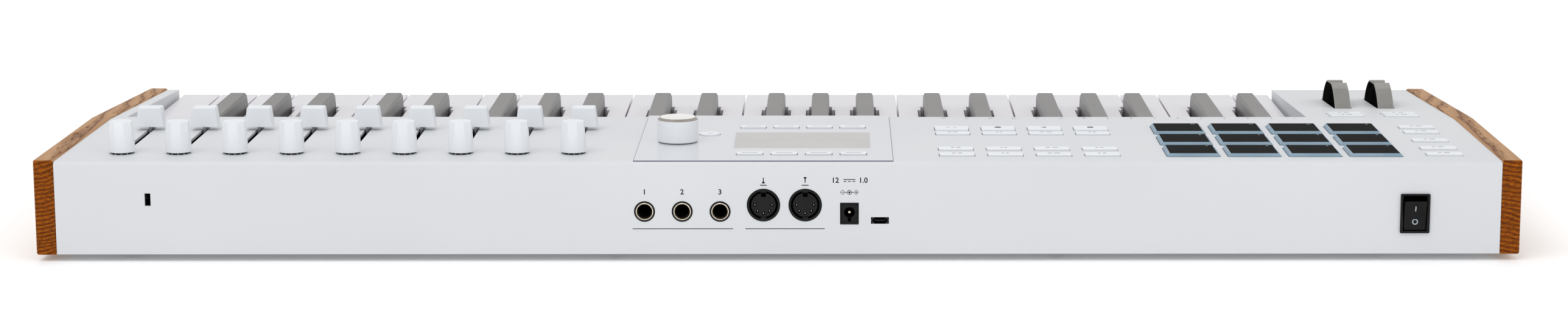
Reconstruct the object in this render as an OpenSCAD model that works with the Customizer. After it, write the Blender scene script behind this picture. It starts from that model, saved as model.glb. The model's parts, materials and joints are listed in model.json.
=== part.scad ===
// Forty-nine key synthesizer: folded steel case, timber cheeks, keybed and control surface.
// Frame: origin under the middle of the object on the table, +Z up, +Y towards the rear panel,
// +X towards the player's right. Depths named *_t are measured forwards from the rear face.

/* [Case] */
// Depth of the metal case, rear face to front face
case_d = 298; // [290:1:380]
// Height of the metal case, underside to deck
case_h = 50.4; // [48:0.1:75]
// Height of the rubber feet
foot_h = 4; // [3:0.5:10]
// Depth of the level deck, up to its bend
bend_t = 138; // [136:1:142]
// Drop of the top from the bend to the front edge
slope_drop = 8.3; // [5:0.1:10]
// Thickness of the folded steel sheet
sheet = 1.5; // [1:0.1:2]
// Outside radius of the rear fold
fold_r = 2.2; // [1.8:0.1:4]
// Thickness of each timber cheek
cheek_t = 11; // [8:0.5:16]
// How far the cheeks stand above the deck
cheek_proud = 1; // [0.5:0.1:2.5]
// How far the cheeks reach below the case underside
cheek_drop = 0.5; // [0:0.1:2]
// Width of the case beside the highest key
end_block_w = 7; // [6:0.5:20]
// Width of the case beside the lowest key, which holds the wheels
wheel_block_w = 84.5; // [82:0.5:110]

/* [Keys] */
// Spacing of the white keys
key_pitch = 23.5; // [23:0.1:29]
// Gap between neighbouring white keys
key_gap = 0.9; // [0.6:0.1:1.5]
// Gap between the outer keys and the case
key_side_gap = 1.5; // [1:0.1:3]
// Depth at which the key slot starts
slot_t = 149.5; // [149:0.5:152]
// How far the keys stand out in front of the case
key_overhang = 5; // [4:0.5:8]
// Height of the white key tops above the case underside
key_rise = 38.2; // [36:0.1:40]
// Height of the white key's front lip
key_lip_h = 20; // [16:0.5:22]
// Height of the black keys above the white keys
black_rise = 9.4; // [7:0.1:10]
// Width of a black key at its base
black_w = 10.6; // [9:0.1:11.5]
// Visible length of a black key at its base
black_l = 105; // [85:1:110]
// Room beside a black key in the white keys
black_side_gap = 1.45; // [0.8:0.05:1.6]
// Radius of the key pivot rail
rail_r = 1.5; // [1:0.1:2]

/* [Controls] */
// Spacing of the knob and fader columns
column_pitch = 30.5; // [28:0.1:30.5]
// Place of the first column, to the right of the middle
column_x = 113.1; // [110:0.1:116]
// Radius of a knob at its base
knob_r = 7; // [5:0.1:9]
// Radius of a knob at its top
knob_top_r = 6.15; // [4:0.05:7]
// Height of a knob
knob_h = 16.6; // [12:0.1:22]
// Travel of a fader
fader_travel = 50; // [40:1:52]
// Width of the fader slot
fader_slot_w = 3.3; // [3:0.1:4]
// Width of a fader cap at its base
fader_cap_w = 15.5; // [12:0.1:19]
// Radius of the main dial
dial_r = 11.3; // [9:0.1:13.5]
// Width of a pad
pad_w = 28.7; // [22:0.1:30]
// Depth of a pad
pad_d = 28.3; // [22:0.1:32]
// Width of a panel button
button_w = 18.9; // [14:0.1:23]
// Clearance round every pad and button
button_fit = 0.4; // [0.3:0.05:0.6]
// Thickness of the display glass
glass_th = 1.1; // [0.9:0.1:1.4]
// Radius of the pitch and modulation wheels
wheel_r = 29.5; // [24:0.5:30]
// Thickness of a wheel
wheel_w = 9.4; // [7:0.1:10]
// Radius of the encoder shafts
shaft_r = 3; // [2.5:0.1:3.2]

/* [Sockets] */
// Bore radius of the 6.35 mm jack sockets
jack_bore_r = 3.25; // [3.2:0.01:3.4]
// Outside radius of the jack collars
jack_r = 5.36; // [5:0.01:7]
// Outside radius of the 5-pin socket collars
din_r = 8.7; // [8:0.1:9.5]
// Bore radius of the power socket
power_bore_r = 2.85; // [2.7:0.05:3.2]

/* [Hidden] */

white_n = 29;
octave_whites = 7;
column_n = 9;
note_names = ["c", "c_sharp", "d", "d_sharp", "e", "f", "f_sharp", "g", "g_sharp", "a", "a_sharp", "b"];
white_notes = [0, 2, 4, 5, 7, 9, 11];

fit = 0.3;            // clearance between pieces that don't touch
running = 0.05;       // radial clearance of a shaft in its bore
eps = 1;              // overshoot of a cut past a face
fine = 48;            // facets of a small round

// case
key_n_w = white_n * key_pitch;
inner_w = end_block_w + wheel_block_w + key_n_w + 2 * key_side_gap;
case_w = inner_w + 2 * cheek_t;
deck_z = foot_h + case_h;
front_z = deck_z - slope_drop;
slope_a = atan(slope_drop / (case_d - bend_t));
slot_r = inner_w / 2 - end_block_w;
slot_l = -inner_w / 2 + wheel_block_w;
left_x = -inner_w / 2;      // inner face of the left cheek, which the left controls follow

// power rocker, whose raised end is the rearmost point
rocker_tilt = 10;
rocker_depth = 3.5;
rocker_half_h = 8.4;
rocker_face = 5.66;
rocker_w = 12;
rocker_pin_r = 1.2;
rocker_sweep = rocker_half_h * cos(rocker_tilt) + rocker_face * sin(rocker_tilt);
rear_proud = rocker_face * cos(rocker_tilt) + rocker_half_h * sin(rocker_tilt) - rocker_depth;
rear_y = (case_d + key_overhang + rear_proud) / 2 - rear_proud;
front_y = rear_y - case_d;

function yt(t) = rear_y - t;
function surface_z(t) = deck_z - max(0, t - bend_t) * tan(slope_a);
function arc(cy, cz, r, a0, a1, n) =
    [for (k = [0 : n]) let (a = a0 + (a1 - a0) * k / n) [cy + r * cos(a), cz + r * sin(a)]];
// side outline of the case, moved inwards by i and ending at height z0
function case_outline(i, z0) = let (r = max(fold_r - i, 0.2)) concat(
    [[front_y + i, z0], [rear_y - i, z0]],
    arc(rear_y - i - r, deck_z - i - r, r, 0, 90, 6),
    [[yt(bend_t), deck_z - i], [front_y + i, front_z - i / cos(slope_a) + i * tan(slope_a)]]);

// keys
key_x0 = slot_l + key_side_gap;
key_z = foot_h + key_rise;
key_front_t = case_d + key_overhang;
key_wall = 1.6;
key_top_th = 2.2;
key_skirt = 10;
key_skirt_z = key_z - key_skirt;
key_tail_t = slot_t - 5.5;
key_lever_w = 8;
lever_clear = 2.3;          // room over the keys where they pass under the deck
eye_r = 4;
pivot_t = 92;
pivot_z = key_z - 6.2;
key_dip = 2.75;
black_front_t = slot_t + 1.7 + black_l;
black_offset = [-2.35, 2.35, 0, -3.36, 0, 3.36, 0];
black_after = [1, 1, 0, 1, 1, 1, 0];
notch = black_w / 2 + black_side_gap;

// deck pieces
glass_l = -60;
glass_r = 79;
glass_t0 = 1.8;
glass_t1 = slot_t - sheet;
glass_pocket = 0.6;
glass_z = deck_z - glass_pocket + glass_th;
lcd_x = -10.75;
lcd_t = 64.85;
lcd_w = 75.3;
lcd_d = 50.7;
knob_t = 27;
knob_gap = 1.1;
fader_t = 103;
fader_stem_l = 10;
fader_stem_w = 1.4;
fader_cap_d = 10;
fader_cap_h = 11.3;
fader_gap = 2;
fader_play = 2;
dial_x = 58.1;
dial_t = 61;
dial_h = 14;
back_x = 41.3;
back_t = 83.5;
back_r = 5.75;
context_w = 14.1;
context_d = 6.5;
context_x = [for (k = [-1.5 : 1 : 1.5]) lcd_x + k * 18.73];
context_t = [21.05, 106.45];
panel_x = [for (k = [0 : 3]) -95.1 - 26.3 * k];
panel_t = [20.6, 38.3, 88.05, 103.7];
panel_d = [8.4, 8.4, 8.4, 12.6];
pad_x = [for (k = [0 : 3]) -223.2 - 33.13 * k];
pad_t = [for (k = [0 : 2]) 29.1 + 35.45 * k];
side_x = left_x + 27.5;
side_w = 19.6;
side_d = 8.4;
side_t = [21.7, 40.2, 65.1, 92.2, 108.5];
slope_x = [left_x + 60, left_x + 28];
slope_t = [153.9, 166];
pad_proud = 1.9;
button_proud = 1.4;
corner_r = 1;
flange_th = 0.8;
flange_w = 1.2;

// boards under the deck
board_th = 1.6;
control_z = key_z - 0.3;
control_top = control_z + board_th;
main_z = foot_h + 13.6;
main_top = main_z + board_th;
switch_h = 3.2;
encoder_h = 6;
encoder_w = 12;
bush_r = shaft_r + 0.6;
nut_r = 5.6;
nut_h = 0.7;
pot_w = 9;
pot_wall = 0.8;

// wheels
wheel_x = [left_x + 55.8, left_x + 30.05];
wheel_t = 220.5;
wheel_sink = 14.7;
wheel_axle_r = 3;
wheel_slot_w = wheel_w + 1.4;
wheel_slot_l = 2 * sqrt(pow(wheel_r, 2) - pow(wheel_sink - sheet, 2)) + 1;
wheel_foot = 14;
notch_r = 13.5;
notch_lift = 9.2;

// rear panel, heights above the case underside
jack_x = [73.3, 53.1, 32.8];
jack_z = foot_h + 23.3;
jack_l = 32;
jack_body_w = 15;
din_x = [9.5, -12.9];
din_z = foot_h + 26.8;
din_bore_r = 7.6;
din_depth = 9.5;
din_body_w = 20;
power_x = -36.65;
power_z = foot_h + 22.15;
power_w = 9.5;
power_h = 11.3;
usb_x = -53.05;
usb_z = foot_h + 18.35;
usb_w = 9.1;
usb_h = 3.1;
rocker_x = left_x + 46.45;
rocker_z = foot_h + 22.15;
bezel_w = 15.9;
bezel_h = 21.5;
bezel_edge = 0.4;           // how far the bezel covers the sheet round its window
lock_x = inner_w / 2 - 49.4;
lock_z = foot_h + 29.85;
lock_w = 3.2;
lock_h = 6.9;
socket_proud = 0.5;

foot_x = [-inner_w / 2 + 26, 0, inner_w / 2 - 26];
foot_t = [32, case_d - 24];
foot_r = 8;
post_x = [rocker_x + 20, -150, 90, inner_w / 2 - 38];
post_t = [12, 70];
post_r = 3.5;
screw_r = 1.5;
cheek_screw_t = [30, 140, case_d - 30];
cheek_screw_z = foot_h + 14;

// ---- helpers ----
module x_prism(x0, x1, pts) {
    translate([x0, 0, 0]) rotate([90, 0, 90]) linear_extrude(x1 - x0) polygon(pts);
}
// box between two depths, two x values and two heights
module block(x0, x1, t0, t1, z0, z1) {
    translate([x0, yt(t1), z0]) cube([x1 - x0, t1 - t0, z1 - z0]);
}
module on_top(x, t) {
    a = t > bend_t ? slope_a : 0;
    translate([x, yt(t), surface_z(t)]) rotate([a, 0, 0]) children();
}
// rod along x
module rod(x0, x1, t, z, r) {
    translate([x0, yt(t), z]) rotate([0, 90, 0]) cylinder(h = x1 - x0, r = r, $fn = fine);
}
// round pointing rearwards from depth t
module boss(x, t, z, r, h) {
    translate([x, yt(t), z]) rotate([-90, 0, 0]) cylinder(h = h, r = r, $fn = fine);
}
module round_slab(w, d, h, r) {
    for (a = [0, 1]) {
        s = a == 0 ? [w, d - 2 * r] : [w - 2 * r, d];
        translate([-s[0] / 2, -s[1] / 2, 0]) cube([s[0], s[1], h]);
    }
    for (x = [-1, 1], y = [-1, 1])
        translate([x * (w / 2 - r), y * (d / 2 - r), 0]) cylinder(h = h, r = r, $fn = fine);
}

// ---- case ----
module top_openings() {
    cut_h = 2 * sheet + 2 * eps;
    down = -sheet - eps;
    // display glass pocket and what shows through it
    block(glass_l - fit, glass_r + fit, glass_t0 - fit, glass_t1, deck_z - glass_pocket, deck_z + eps);
    block(lcd_x - lcd_w / 2, lcd_x + lcd_w / 2, lcd_t - lcd_d / 2, lcd_t + lcd_d / 2,
        deck_z + down, deck_z + eps);
    for (x = context_x, t = context_t) on_top(x, t) translate([0, 0, down])
        round_slab(context_w + 2 * button_fit, context_d + 2 * button_fit, cut_h, corner_r + button_fit);
    on_top(back_x, back_t) translate([0, 0, down]) cylinder(h = cut_h, r = back_r + button_fit, $fn = fine);
    on_top(dial_x, dial_t) translate([0, 0, down]) cylinder(h = cut_h, r = bush_r + fit, $fn = fine);
    // knobs and faders
    for (i = [0 : column_n - 1]) {
        x = column_x + i * column_pitch;
        on_top(x, knob_t) translate([0, 0, down]) cylinder(h = cut_h, r = bush_r + fit, $fn = fine);
        fader_l = fader_travel + fader_stem_l + 2 * fader_play;
        on_top(x, fader_t + (fader_stem_l - fader_l) / 2 + fader_play) translate([0, 0, down])
            round_slab(fader_slot_w, fader_l, cut_h, fader_slot_w / 2 - 0.01);
    }
    // pads and buttons
    for (x = pad_x, t = pad_t) on_top(x, t) translate([0, 0, down])
        round_slab(pad_w + 2 * button_fit, pad_d + 2 * button_fit, cut_h, corner_r + button_fit);
    for (x = panel_x, k = [0 : 3]) on_top(x, panel_t[k]) translate([0, 0, down])
        round_slab(button_w + 2 * button_fit, panel_d[k] + 2 * button_fit, cut_h, corner_r + button_fit);
    for (t = side_t) on_top(side_x, t) translate([0, 0, down])
        round_slab(side_w + 2 * button_fit, side_d + 2 * button_fit, cut_h, corner_r + button_fit);
    for (x = slope_x, t = slope_t) on_top(x, t) translate([0, 0, down])
        round_slab(side_w + 2 * button_fit, side_d + 2 * button_fit, cut_h, corner_r + button_fit);
    // wheels
    for (x = wheel_x) on_top(x, wheel_t) translate([0, 0, down])
        round_slab(wheel_slot_w, wheel_slot_l, cut_h, corner_r);
}
module rear_openings() {
    for (x = jack_x) boss(x, sheet + eps, jack_z, jack_r + fit, sheet + 2 * eps);
    for (x = din_x) boss(x, sheet + eps, din_z, din_r + fit, sheet + 2 * eps);
    rear_window(power_x, power_z, power_w + 2 * fit, power_h + 2 * fit);
    rear_window(usb_x, usb_z, usb_w + 2 * fit, usb_h + 2 * fit);
    rear_window(rocker_x, rocker_z, bezel_w - 2 * bezel_edge, bezel_h - 2 * bezel_edge);
    rear_window(lock_x, lock_z, lock_w, lock_h);
}
module rear_window(x, z, w, h) {
    block(x - w / 2, x + w / 2, -eps, sheet + eps, z - h / 2, z + h / 2);
}
module top_cover() {
    half = inner_w / 2;
    low = foot_h - eps;
    lip_z = key_z + lever_clear;
    floor_z = foot_h + sheet + fit;
    color("whitesmoke") difference() {
        x_prism(-half, half, case_outline(0, foot_h));
        intersection() {
            x_prism(-half + sheet, half - sheet, case_outline(sheet, low));
            block(-half, half, 0, slot_t - sheet, low, deck_z);
        }
        x_prism(-half + sheet, slot_l - sheet, case_outline(sheet, low));
        x_prism(slot_r + sheet, half - sheet, case_outline(sheet, low));
        block(slot_l, slot_r, slot_t, case_d + eps, low, deck_z + eps);
        block(slot_l, slot_r, slot_t - sheet - eps, slot_t + eps, low, lip_z);
        // room for the base pan under the inner walls
        block(-half + sheet, half - sheet, sheet, case_d - sheet, low, floor_z);
        // the inner walls of both blocks start at the slot
        block(slot_l - sheet - eps, slot_r + sheet + eps, sheet, slot_t - sheet, low, lip_z);
        top_openings();
        rear_openings();
        cheek_screw_holes(screw_r + fit);
    }
}
module cheek_screw_holes(r) {
    for (t = cheek_screw_t) {
        rod(-case_w / 2 + 3, -inner_w / 2 + sheet + eps, t, cheek_screw_z, r);
        rod(inner_w / 2 - sheet - eps, case_w / 2 - 3, t, cheek_screw_z, r);
    }
}
module base_pan() {
    x = inner_w / 2 - sheet - fit;
    t0 = sheet + fit;
    t1 = case_d - sheet - fit;
    lip = key_skirt_z - (key_front_t - pivot_t) * tan(key_dip) - 1;
    flange_h = 8;
    color("dimgray") difference() {
        union() {
            block(-x, x, t0, t1, foot_h, foot_h + sheet);
            block(slot_l + fit, slot_r - fit, case_d - sheet, case_d, foot_h, lip);
            block(slot_l + fit, slot_r - fit, t1 - sheet, case_d, foot_h, foot_h + sheet);
            block(-x, x, t0, t0 + sheet, foot_h, foot_h + flange_h);
            for (px = post_x, pt = post_t) translate([px, yt(pt), foot_h])
                cylinder(h = main_z - foot_h, r = post_r, $fn = fine);
        }
        for (px = post_x, pt = post_t) translate([px, yt(pt), foot_h - eps])
            cylinder(h = main_z - foot_h, r = screw_r + running, $fn = fine);
    }
}
module cheek(x0) {
    color("peru") difference() {
        x_prism(x0, x0 + cheek_t, case_outline(-cheek_proud, foot_h - cheek_drop));
        block(x0 - eps, x0 + cheek_t + eps, -eps - cheek_proud, 0, 0, deck_z + cheek_proud + eps);
        block(x0 - eps, x0 + cheek_t + eps, case_d, case_d + cheek_proud + eps, 0, deck_z + eps);
        cheek_screw_holes(screw_r + running);
    }
}
module cheek_left() {
    cheek(-case_w / 2);
}
module cheek_right() {
    cheek(inner_w / 2);
}
module rubber_feet() {
    color("black") for (x = foot_x, t = foot_t) translate([x, yt(t), 0])
        cylinder(h = foot_h, r = foot_r, $fn = fine);
}
module case_screws() {
    head_r = 2.8;
    head_h = 1.4;
    color("silver") {
        for (x = post_x, t = post_t) translate([x, yt(t), foot_h - head_h]) {
            cylinder(h = head_h, r = head_r, $fn = fine);
            cylinder(h = head_h + main_z - foot_h - 2, r = screw_r, $fn = fine);
        }
        for (s = [-1, 1], t = cheek_screw_t) {
            wall = s * (inner_w / 2 - sheet);
            inner = wall - s * head_h;
            tip = s * (inner_w / 2 + cheek_t - 4);
            rod(min(inner, wall), max(inner, wall), t, cheek_screw_z, head_r);
            rod(min(inner, tip), max(inner, tip), t, cheek_screw_z, screw_r);
        }
    }
}

// ---- keys ----
// key solid with its top, side walls and front lip, hollow from below
module white_key(i) {
    n = i % octave_whites;
    x0 = key_x0 + i * key_pitch;
    x1 = x0 + key_pitch;
    last = i == white_n - 1;
    before = n == 0 ? octave_whites - 1 : n - 1;
    left = i > 0 && black_after[before] == 1 ? x0 + black_offset[before] + notch : x0 + key_gap / 2;
    right = !last && black_after[n] == 1 ? x1 + black_offset[n] - notch : x1 - key_gap / 2;
    notch_t = black_front_t + 1.2;
    mid = lever_x(i);
    difference() {
        union() {
            block(x0 + key_gap / 2, x1 - key_gap / 2, notch_t, key_front_t, key_skirt_z, key_z);
            block(x0 + key_gap / 2, x1 - key_gap / 2, key_front_t - key_top_th, key_front_t,
                key_z - key_lip_h, key_z);
            block(left, right, key_tail_t, notch_t + key_wall, key_skirt_z, key_z);
            key_lever(mid);
        }
        block(x0 + key_gap / 2 + key_wall, x1 - key_gap / 2 - key_wall, notch_t + key_wall,
            key_front_t - key_top_th, 0, key_z - key_top_th);
        block(left + key_wall, right - key_wall, slot_t, notch_t + 2 * key_wall, 0, key_z - key_top_th);
        key_bore(mid);
    }
}
// middle of the lever of white key i
function lever_x(i) = let (
    n = i % octave_whites,
    x0 = key_x0 + i * key_pitch,
    before = n == 0 ? octave_whites - 1 : n - 1,
    l = black_after[before] == 1 ? x0 + black_offset[before] + notch : x0,
    r = black_after[n] == 1 ? x0 + key_pitch + black_offset[n] - notch : x0 + key_pitch) (l + r) / 2;
module key_lever(x) {
    block(x - key_lever_w / 2, x + key_lever_w / 2, pivot_t, key_tail_t + eps,
        pivot_z - eye_r, pivot_z + eye_r);
    rod(x - key_lever_w / 2, x + key_lever_w / 2, pivot_t, pivot_z, eye_r);
}
module key_bore(x) {
    rod(x - key_lever_w, x + key_lever_w, pivot_t, pivot_z, rail_r + running);
}
module black_key(i) {
    x = key_x0 + (i + 1) * key_pitch + black_offset[i % octave_whites];
    top = key_z + black_rise;
    back = slot_t + 1.7;
    edge = 0.8;
    bevel_h = 2;
    rake = 4;
    rake_h = 7.5;
    difference() {
        union() {
            intersection() {
                x_prism(x - black_w / 2, x + black_w / 2, [
                    [yt(back), key_skirt_z], [yt(back), top], [yt(black_front_t - rake), top],
                    [yt(black_front_t), top - rake_h], [yt(black_front_t), key_skirt_z]]);
                translate([x, yt(back - eps), 0]) rotate([90, 0, 0])
                    linear_extrude(black_l + 2 * eps) polygon([
                        [-black_w / 2, 0], [-black_w / 2, top - bevel_h], [-black_w / 2 + edge, top],
                        [black_w / 2 - edge, top], [black_w / 2, top - bevel_h], [black_w / 2, 0]]);
            }
            block(x - black_w / 2, x + black_w / 2, key_tail_t, back + eps, key_skirt_z, key_z - 0.5);
            key_lever(x);
        }
        block(x - black_w / 2 + key_wall, x + black_w / 2 - key_wall, back + key_wall,
            black_front_t - key_wall, 0, key_z + 2);
        key_bore(x);
    }
}
// every key of one note name, note 0 being C
module key_group(note) {
    hits = [for (n = [0 : octave_whites - 1]) if (white_notes[n] == note) n];
    below = [for (n = [0 : octave_whites - 1]) if (white_notes[n] == note - 1) n];
    if (len(hits) == 1)
        color("white") for (i = [hits[0] : octave_whites : white_n - 1]) white_key(i);
    else
        color("gray") for (i = [below[0] : octave_whites : white_n - 2]) black_key(i);
}
module key_pivot_rail() {
    color("silver") rod(slot_l, slot_r, pivot_t, pivot_z, rail_r);
}
module keybed_chassis() {
    plate_z = foot_h + sheet + fit;
    plate = 1.5;
    t0 = pivot_t - 8;
    t1 = case_d - 6;
    tab_w = 3;
    tab_t0 = stop_t[1] - 14;
    tab_t1 = stop_t[1] - 6;
    tab_z = key_z - key_top_th - 12;
    upright = 2;
    upright_half = 6;
    above_rail = 3.5;
    color("darkgray") difference() {
        union() {
            block(slot_l + fit, slot_r - fit, t0, t1, plate_z, plate_z + plate);
            for (k = [0, 1])
                block(slot_l + fit, slot_r - fit, stop_t[k], stop_t[k] + stop_w, plate_z, stop_z(k) - felt_th);
            for (i = [0 : white_n - 1])
                block(lever_mid(i) - tab_w / 2, lever_mid(i) + tab_w / 2, tab_t0, tab_t1, plate_z, tab_z);
            for (x = uprights) block(x - upright / 2, x + upright / 2, pivot_t - upright_half,
                pivot_t + upright_half, plate_z, pivot_z + above_rail);
        }
        for (x = uprights) rod(x - upright, x + upright, pivot_t, pivot_z, rail_r + running);
    }
}
function lever_mid(i) = key_x0 + (i + 0.5) * key_pitch;
uprights = concat([slot_l + 1.3], [for (k = [1 : 4]) key_x0 + k * octave_whites * key_pitch], [slot_r - 1.3]);
stop_t = [238, 280];
stop_w = 10;
felt_th = 3;
// top of the felt that stops the keys at depth stop_t[k]
function stop_z(k) = key_skirt_z - (stop_t[k] + stop_w - pivot_t) * tan(key_dip) - 0.5;
module key_felts() {
    edge = 1;
    color("firebrick") for (k = [0, 1])
        block(slot_l + 2 * edge, slot_r - 2 * edge, stop_t[k] + edge, stop_t[k] + stop_w - edge,
            stop_z(k) - felt_th, stop_z(k));
}
module key_contact_board() {
    z = foot_h + sheet + 4;
    edge = 3;
    t0 = slot_t + 15.5;
    depth = 32;
    dome_r = 4;
    dome_h = 5;
    color("darkgreen") block(slot_l + edge, slot_r - edge, t0, t0 + depth, z, z + board_th);
    color("gainsboro") for (i = [0 : white_n - 1])
        translate([lever_mid(i), yt(t0 + depth / 2), z + board_th + running])
            cylinder(h = dome_h, r = dome_r, $fn = fine);
}

// ---- control surface ----
module display_glass() {
    cut = glass_th + 2 * eps;
    color("white") difference() {
        block(glass_l, glass_r, glass_t0, glass_t1 - fit, deck_z - glass_pocket + 0.01, glass_z);
        for (x = context_x, t = context_t) on_top(x, t) translate([0, 0, -eps])
            round_slab(context_w + 2 * button_fit, context_d + 2 * button_fit, cut, corner_r + button_fit);
        on_top(back_x, back_t) translate([0, 0, -eps]) cylinder(h = cut, r = back_r + button_fit, $fn = fine);
        on_top(dial_x, dial_t) translate([0, 0, -eps]) cylinder(h = cut, r = bush_r + fit, $fn = fine);
    }
}
module lcd_module() {
    edge = 2;
    color("lightgray") block(lcd_x - lcd_w / 2 + fit, lcd_x + lcd_w / 2 - fit, lcd_t - lcd_d / 2 + fit,
        lcd_t + lcd_d / 2 - fit, deck_z - sheet - edge, deck_z - glass_pocket - 0.1);
    color("silver") block(lcd_x - lcd_w / 2 - edge, lcd_x + lcd_w / 2 + edge, lcd_t - lcd_d / 2 - edge,
        lcd_t + lcd_d / 2 + edge, control_top + 1, deck_z - sheet - edge);
}
module control_board() {
    edge = 8;
    tact = 4;
    tact_top = control_top + switch_h;
    plate_drop = 9;
    plate_w = 60;
    plate_d = 26;
    plate_t = (slope_t[0] + slope_t[1]) / 2;
    color("darkgreen") {
        block(-inner_w / 2 + edge, inner_w / 2 - edge, edge, slot_t - 8, control_z, control_top);
        on_top((slope_x[0] + slope_x[1]) / 2, plate_t) translate([-plate_w / 2, -plate_d / 2, -plate_drop])
            cube([plate_w, plate_d, board_th]);
    }
    color("black") {
        for (x = panel_x, t = panel_t) block(x - tact, x + tact, t - tact, t + tact, control_top, tact_top);
        for (t = side_t) block(side_x - tact, side_x + tact, t - tact, t + tact, control_top, tact_top);
        for (x = pad_x, t = pad_t) block(x - tact, x + tact, t - tact, t + tact, control_top, tact_top);
    }
}
module main_board() {
    color("darkgreen") difference() {
        block(rocker_x + bezel_w / 2 + 2, inner_w / 2 - 20, 6, pivot_t - 14, main_z, main_top);
        for (x = post_x, t = post_t) translate([x, yt(t), main_z - eps])
            cylinder(h = board_th + 2 * eps, r = screw_r + fit, $fn = fine);
    }
}
module slide_pots() {
    top = deck_z - sheet - fit;
    len2 = (fader_travel + fader_stem_l + 2 * fader_play) / 2 + 4;
    mid = fader_t - fader_travel / 2;
    color("silver") for (i = [0 : column_n - 1]) {
        x = column_x + i * column_pitch;
        difference() {
            block(x - pot_w / 2, x + pot_w / 2, mid - len2, mid + len2, control_top, top);
            block(x - pot_w / 2 + pot_wall, x + pot_w / 2 - pot_wall, mid - len2 + pot_wall,
                mid + len2 - pot_wall, control_top + pot_wall, top - pot_wall);
            block(x - fader_slot_w / 2, x + fader_slot_w / 2, mid - len2 + 3, mid + len2 - 3,
                top - pot_wall - eps, top + eps);
        }
    }
}
// encoder with its bush standing up to the height face_z
module encoder(x, t, face_z) {
    teeth = 12;
    difference() {
        union() {
            block(x - encoder_w / 2, x + encoder_w / 2, t - encoder_w / 2, t + encoder_w / 2,
                control_top, control_top + encoder_h);
            translate([x, yt(t), control_top]) cylinder(h = face_z - control_top + nut_h, r = bush_r, $fn = fine);
            translate([x, yt(t), face_z + 0.01]) difference() {
                cylinder(h = nut_h, r = nut_r, $fn = fine);
                for (k = [0 : teeth - 1]) rotate([0, 0, 360 / teeth * k]) translate([nut_r - 0.8, -0.5, -eps])
                    cube([2, 1, nut_h + 2 * eps]);
            }
        }
        translate([x, yt(t), control_top + 1]) cylinder(h = deck_z, r = shaft_r + running, $fn = fine);
    }
}
module rotary_encoders() {
    color("dimgray") {
        for (i = [0 : column_n - 1]) encoder(column_x + i * column_pitch, knob_t, deck_z);
        encoder(dial_x, dial_t, glass_z);
    }
}
// knob body over a face at height z, with the shaft that it turns
module turning_knob(x, t, z, r, top_r, h) {
    bore_h = min(h - 3, 11);
    color("white") translate([x, yt(t), z]) difference() {
        cylinder(h = h, r1 = r, r2 = top_r, $fn = fine);
        translate([0, 0, -eps]) cylinder(h = bore_h + eps, r = shaft_r + 0.02, $fn = fine);
    }
    color("silver") translate([x, yt(t), control_top + 1.2])
        cylinder(h = z + bore_h - control_top - 1.3, r = shaft_r, $fn = fine);
}
module knob(i) {
    turning_knob(column_x + i * column_pitch, knob_t, deck_z + knob_gap, knob_r, knob_top_r, knob_h);
}
module main_dial() {
    turning_knob(dial_x, dial_t, glass_z + knob_gap, dial_r, dial_r, dial_h - knob_gap);
}
module fader(i) {
    x = column_x + i * column_pitch;
    cap_z = deck_z + fader_gap;
    taper = 1.25;
    stem_in = 8;
    fork_edge = 3.5;
    seat = 0.02;
    carrier_w = pot_w - 2 * pot_wall - 2 * fit;
    carrier_z = control_top + pot_wall + fit;
    color("white") difference() {
        intersection() {
            x_prism(x - fader_cap_w / 2, x + fader_cap_w / 2, [
                [yt(fader_t) - fader_cap_d / 2, cap_z],
                [yt(fader_t) - fader_cap_d / 2 + taper / 2, cap_z + fader_cap_h],
                [yt(fader_t) + fader_cap_d / 2 - taper / 2, cap_z + fader_cap_h],
                [yt(fader_t) + fader_cap_d / 2, cap_z]]);
            translate([x, yt(fader_t) + fader_cap_d, cap_z]) rotate([90, 0, 0])
                linear_extrude(2 * fader_cap_d) polygon([
                    [-fader_cap_w / 2, 0], [-fader_cap_w / 2 + taper, fader_cap_h],
                    [fader_cap_w / 2 - taper, fader_cap_h], [fader_cap_w / 2, 0]]);
        }
        block(x - fader_stem_w / 2 - seat, x + fader_stem_w / 2 + seat, fader_t - fader_stem_l / 2,
            fader_t + fader_stem_l / 2, cap_z - eps, cap_z + stem_in + seat);
    }
    color("silver") {
        block(x - carrier_w / 2, x + carrier_w / 2, fader_t - 4, fader_t + 4, carrier_z, carrier_z + 2.5);
        difference() {
            block(x - fader_stem_w / 2, x + fader_stem_w / 2, fader_t - fader_stem_l / 2,
                fader_t + fader_stem_l / 2, carrier_z + 2.5, cap_z + stem_in);
            block(x - fader_stem_w, x + fader_stem_w, fader_t - fader_stem_l / 2 + fork_edge,
                fader_t + fader_stem_l / 2 - fork_edge, deck_z - 0.4, cap_z + stem_in + eps);
        }
    }
}
// pressed piece in its opening, with a flange under the sheet and a plunger over its switch
module press_key(w, d, proud) {
    low = -sheet - fit - flange_th;
    plunger = deck_z - control_top - switch_h - 1.2;
    translate([0, 0, low]) round_slab(w, d, proud - low, corner_r);
    translate([-w / 2 - flange_w, -d / 2 - flange_w, low])
        cube([w + 2 * flange_w, d + 2 * flange_w, flange_th]);
    translate([0, 0, -plunger]) cylinder(h = plunger + low + eps, r = 1.5, $fn = fine);
}
module pads() {
    color("black") for (x = pad_x, t = pad_t) on_top(x, t) press_key(pad_w, pad_d, pad_proud);
}
module display_buttons() {
    proud = glass_z - deck_z + button_proud;
    color("white") {
        for (x = context_x, t = context_t) on_top(x, t) plain_button(context_w, context_d, proud);
        on_top(back_x, back_t) translate([0, 0, -sheet - fit])
            cylinder(h = sheet + fit + proud, r = back_r, $fn = fine);
    }
}
module plain_button(w, d, proud) {
    translate([0, 0, -sheet - fit]) round_slab(w, d, sheet + fit + proud, corner_r);
}
module panel_buttons() {
    color("white") for (x = panel_x, k = [0 : 3]) on_top(x, panel_t[k])
        press_key(button_w, panel_d[k], button_proud);
}
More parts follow.
